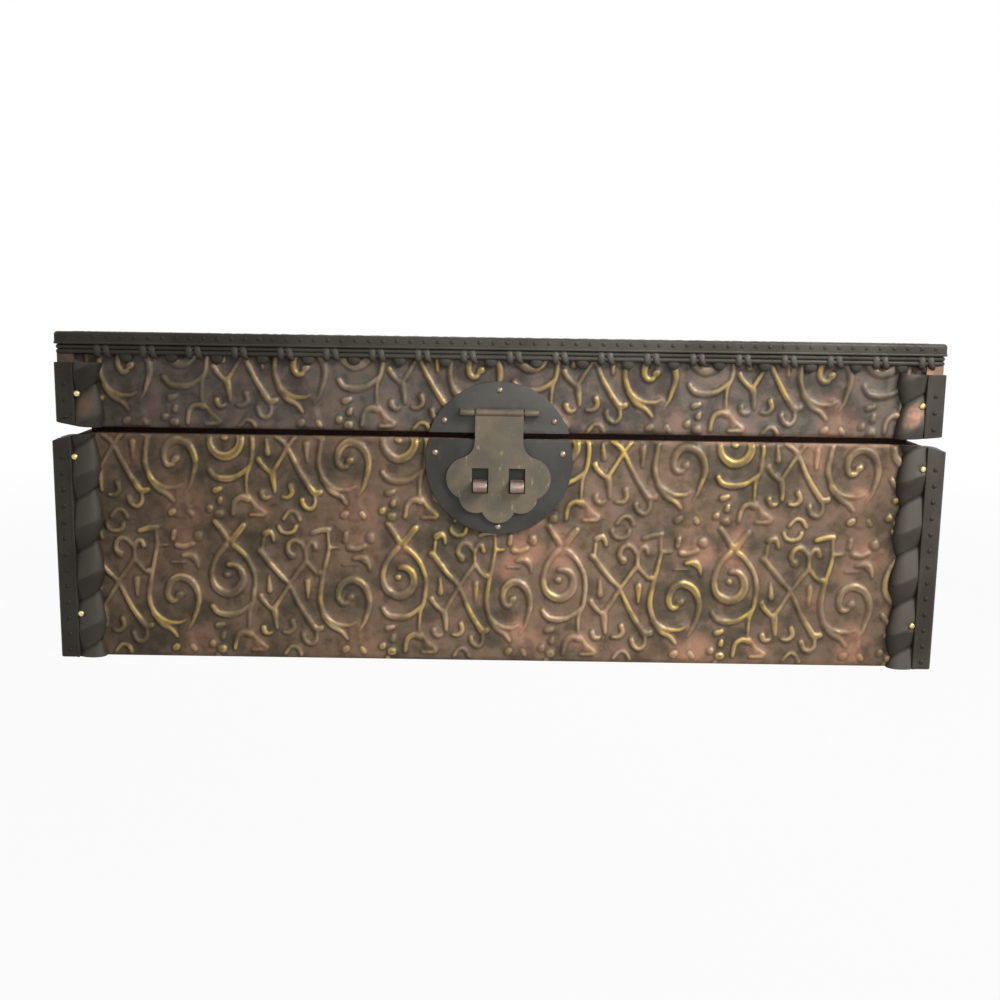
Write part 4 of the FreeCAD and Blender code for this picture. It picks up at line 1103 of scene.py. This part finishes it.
def hasp_plate(material):
    """The hasp, thinned below the roll that goes round its pin."""
    form = Form()
    form.take(eased_mesh("hasp"))
    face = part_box("hasp")[0].y / MM
    form.points = [(x, max(y, face + HASP_THINNING), z) for x, y, z in form.points]
    rows = []
    for x, radius in ((-ROLL_HALF, ROLL_RADIUS - ROLL_EASE), (ROLL_EASE - ROLL_HALF, ROLL_RADIUS),
                      (ROLL_HALF - ROLL_EASE, ROLL_RADIUS), (ROLL_HALF, ROLL_RADIUS - ROLL_EASE)):
        ring = arc(HASP_AXIS, (radius, radius), 0, 360 - 360 / ROLL_SIDES, ROLL_SIDES - 1)
        rows.append([(x, y, z) for y, z in ring])
    form.grid(rows, round_rows=True)
    mesh = form.mesh("hasp_rolled", SHARP)
    return show(mesh, "hasp_rolled", "hasp", "hasp_plate", material, "hasp")


def coat(nodes, material):
    """Gives nodes that show as they are their finish."""
    for node in nodes:
        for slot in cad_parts[node].material_slots:
            slot.material = material


# Stage

def background_rays(tree):
    """1 for the rays that meet a white background: the camera's, and those off gloss or through glass."""
    rays = add(tree, "ShaderNodeLightPath").node.outputs
    seen = add(tree, "ShaderNodeMath", [rays["Is Camera Ray"], rays["Is Glossy Ray"]], operation="MAXIMUM")
    return add(tree, "ShaderNodeMath", [seen, rays["Is Transmission Ray"]], operation="MAXIMUM")


def stage_floor():
    """A matt floor that is seen as white, with a faint shadow near the chest."""
    work = bmesh.new()
    bmesh.ops.create_grid(work, x_segments=1, y_segments=1, size=FLOOR_HALF)
    mesh = bpy.data.meshes.new("floor")
    work.to_mesh(mesh)
    work.free()
    floor = bpy.data.objects.new("floor", mesh)
    bpy.context.scene.collection.objects.link(floor)
    material, tree, place = new_material("pale_sweep")
    matt = add(tree, "ShaderNodeBsdfPrincipled", {"Base Color": linear("#8f8f8d"), "Roughness": 0.9})
    white = add(tree, "ShaderNodeEmission", {"Color": linear("#ffffff")})
    reach = add(tree, "ShaderNodeVectorMath", [place], output="Value", operation="LENGTH")
    fade = add(tree, "ShaderNodeMapRange", [reach, *SHADOW_REACH, SHADOW_WHITE, 1.0], **SMOOTH)
    share = add(tree, "ShaderNodeMath", [background_rays(tree), fade], operation="MULTIPLY")
    mixed = add(tree, "ShaderNodeMixShader", [share, matt, white])
    add(tree, "ShaderNodeOutputMaterial", [mixed])
    mesh.materials.append(material)


def studio_world():
    """White where it is seen, and a dim even light for the rest."""
    world = bpy.data.worlds.new("studio")
    world.use_nodes = True
    bpy.context.scene.world = world
    tree = world.node_tree
    tree.nodes.clear()
    strength = add(tree, "ShaderNodeMapRange", [background_rays(tree), 0.0, 1.0, WORLD_LIGHT, 1.0])
    back = add(tree, "ShaderNodeBackground", {"Color": linear("#ffffff"), "Strength": strength})
    add(tree, "ShaderNodeOutputWorld", [back])


def lamp(name, place, target, size, power, spread_degrees=180):
    """A soft square lamp aimed at a point, in metres."""
    light = bpy.data.lights.new(name, "AREA")
    light.size = size
    light.energy = power
    light.spread = math.radians(spread_degrees)
    holder = bpy.data.objects.new(name, light)
    holder.location = place
    holder.rotation_euler = (Vector(target) - Vector(place)).to_track_quat("-Z", "Y").to_euler()
    bpy.context.scene.collection.objects.link(holder)


def camera(place, pitch, roll, lens):
    """A camera facing the front wall, tipped down and rolled by degrees."""
    data = bpy.data.cameras.new("camera")
    data.sensor_width = 36.0
    data.lens = lens
    holder = bpy.data.objects.new("camera", data)
    tip = Matrix.Rotation(math.radians(90 - pitch), 4, "X")
    spin = Matrix.Rotation(math.radians(roll), 4, "Z")
    holder.matrix_world = Matrix.Translation(place) @ tip @ spin
    bpy.context.scene.collection.objects.link(holder)
    bpy.context.scene.camera = holder


# The chest

base_leather = embossed_leather("brown_embossed_leather", "#4d4335", "#6b5744", gilding=0.85, coppering=0.85)
lid_leather = embossed_leather("grey_embossed_leather", "#463f38", "#615950", gilding=0.6, coppering=0.45)
dark_moulding = stained_moulding("stained_resin_moulding", rub=0.0)
handled_moulding = stained_moulding("handled_resin_moulding", rub=0.25)
rubbed_moulding = stained_moulding("copper_rubbed_resin_moulding", rub=0.85)
plate_metal = antiqued_metal(
    "gunmetal_plate", "#3f3e3b", "#4a4944", ("#5d564b", 0.3), metallic=0.3, roughness=0.45
)
# The lower plate is a darker copy of the upper plate's metal, a painted shade, and darker still behind the
# slots.
behind_slots = (0.0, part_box("lock_lower_plate")[0].y, SLOTS_HEIGHT * MM)
painted_shade_plate_metal = antiqued_metal(
    "grimed_gunmetal_plate", "#353431", "#3f3e3a", ("#524c42", 0.3), metallic=0.3, roughness=0.45,
    painted_shade_place=behind_slots
)
hasp_metal = antiqued_metal(
    "olive_bronze_plate", "#554f45", "#695f4e", ("#a08e5f", 0.55), metallic=0.3, roughness=0.42
)
staple_metal = antiqued_metal(
    "copper_bronze_strap", "#74645c", "#978379", ("#b8a496", 0.4), metallic=0.6, roughness=0.35
)
nail_metal = antiqued_metal(
    "dull_brass_nail", "#7f6b58", "#9a8670", ("#c8b694", 0.5), metallic=0.75, roughness=0.35
)
hinge_metal = antiqued_metal(
    "bronzed_steel", "#4b4233", "#6a5d48", ("#8c7c5e", 0.4), metallic=0.8, roughness=0.4
)
brass = tumbled_brass()
fibreboard = stained_fibreboard()
flock = flocked_card()

pressed_sheet = embossing_tree()
row_of_shapes = row_tree()
scroll = drawn_strokes("scroll", SCROLL)
fills = drawn_strokes("fills", FILLS)
pads = drawn_strokes("pads", PADS)
trim_dot = dome("trim_dot", DOT_RADIUS, DOT_RISE)
trim_stud = dome("trim_stud", STUD_RADIUS, STUD_RISE)
top_stud = dome("top_stud", TOP_STUD_RADIUS, TOP_STUD_RISE)
trim_drop = dome("trim_drop", DROP_RADIUS, DROP_RISE, segments=12)
trim_tie = shape_object(tie())

wall_skins("base", (0.0, BASE_TOP), FRONT_START, base_leather)
wall_skins("lid", (LID_LOW, LID_WALL_TOP), LID_START, lid_leather)
top_place = Matrix.Translation((0.0, 0.0, (LID_TOP - SKIN_GROUND - SKIN_RELIEF) * MM))
top_size = (2 * LID_HALF[0], 2 * LID_HALF[1])
embossed_skin("lid_top_skin", "lid", top_place, top_size, FRONT_START, lid_leather, TOP_STEP)
corner_trims()
for trim_side in FACE_TURNS:
    top_trim(trim_side, dark_moulding)

eased("lock_lower_plate", "base", "lock_plate", painted_shade_plate_metal)
upper_plate(plate_metal, hasp_metal)
hasp_plate(hasp_metal)
for staple in ("lock_left_staple", "lock_right_staple"):
    eased(staple, "base", "lock_staple", staple_metal)
coat(["hasp_pin"], hasp_metal)
coat(["lock_lower_plate_nails", "lock_upper_plate_nails"], nail_metal)
coat(["base_trim_tacks", "lid_trim_tacks"], brass)
coat([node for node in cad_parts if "hinge" in node], hinge_metal)
for wall_part in ("base", "lid"):
    for wall_side in FACE_TURNS:
        worn_board(wall_part, wall_side, fibreboard)
coat(["base_floor_board", "lid_top_board"], fibreboard)
coat([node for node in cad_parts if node.endswith("_card")], flock)

stage_floor()
studio_world()
lamp("key", (0.42, -0.5, 0.46), (0.05, -0.14, 0.04), size=0.26, power=0.53, spread_degrees=45)
lamp("fill", (0.11, -0.5, 0.14), (0.07, -0.14, 0.05), size=0.25, power=0.13, spread_degrees=80)
lamp("back_light", (0.2, 1.2, 1.2), (0.0, 0.0, 0.1), size=1.0, power=12.0)
camera((0.0008, -0.6218, 0.148), pitch=8.52, roll=0.85, lens=39.05)
bpy.context.scene.view_settings.view_transform = "Standard"
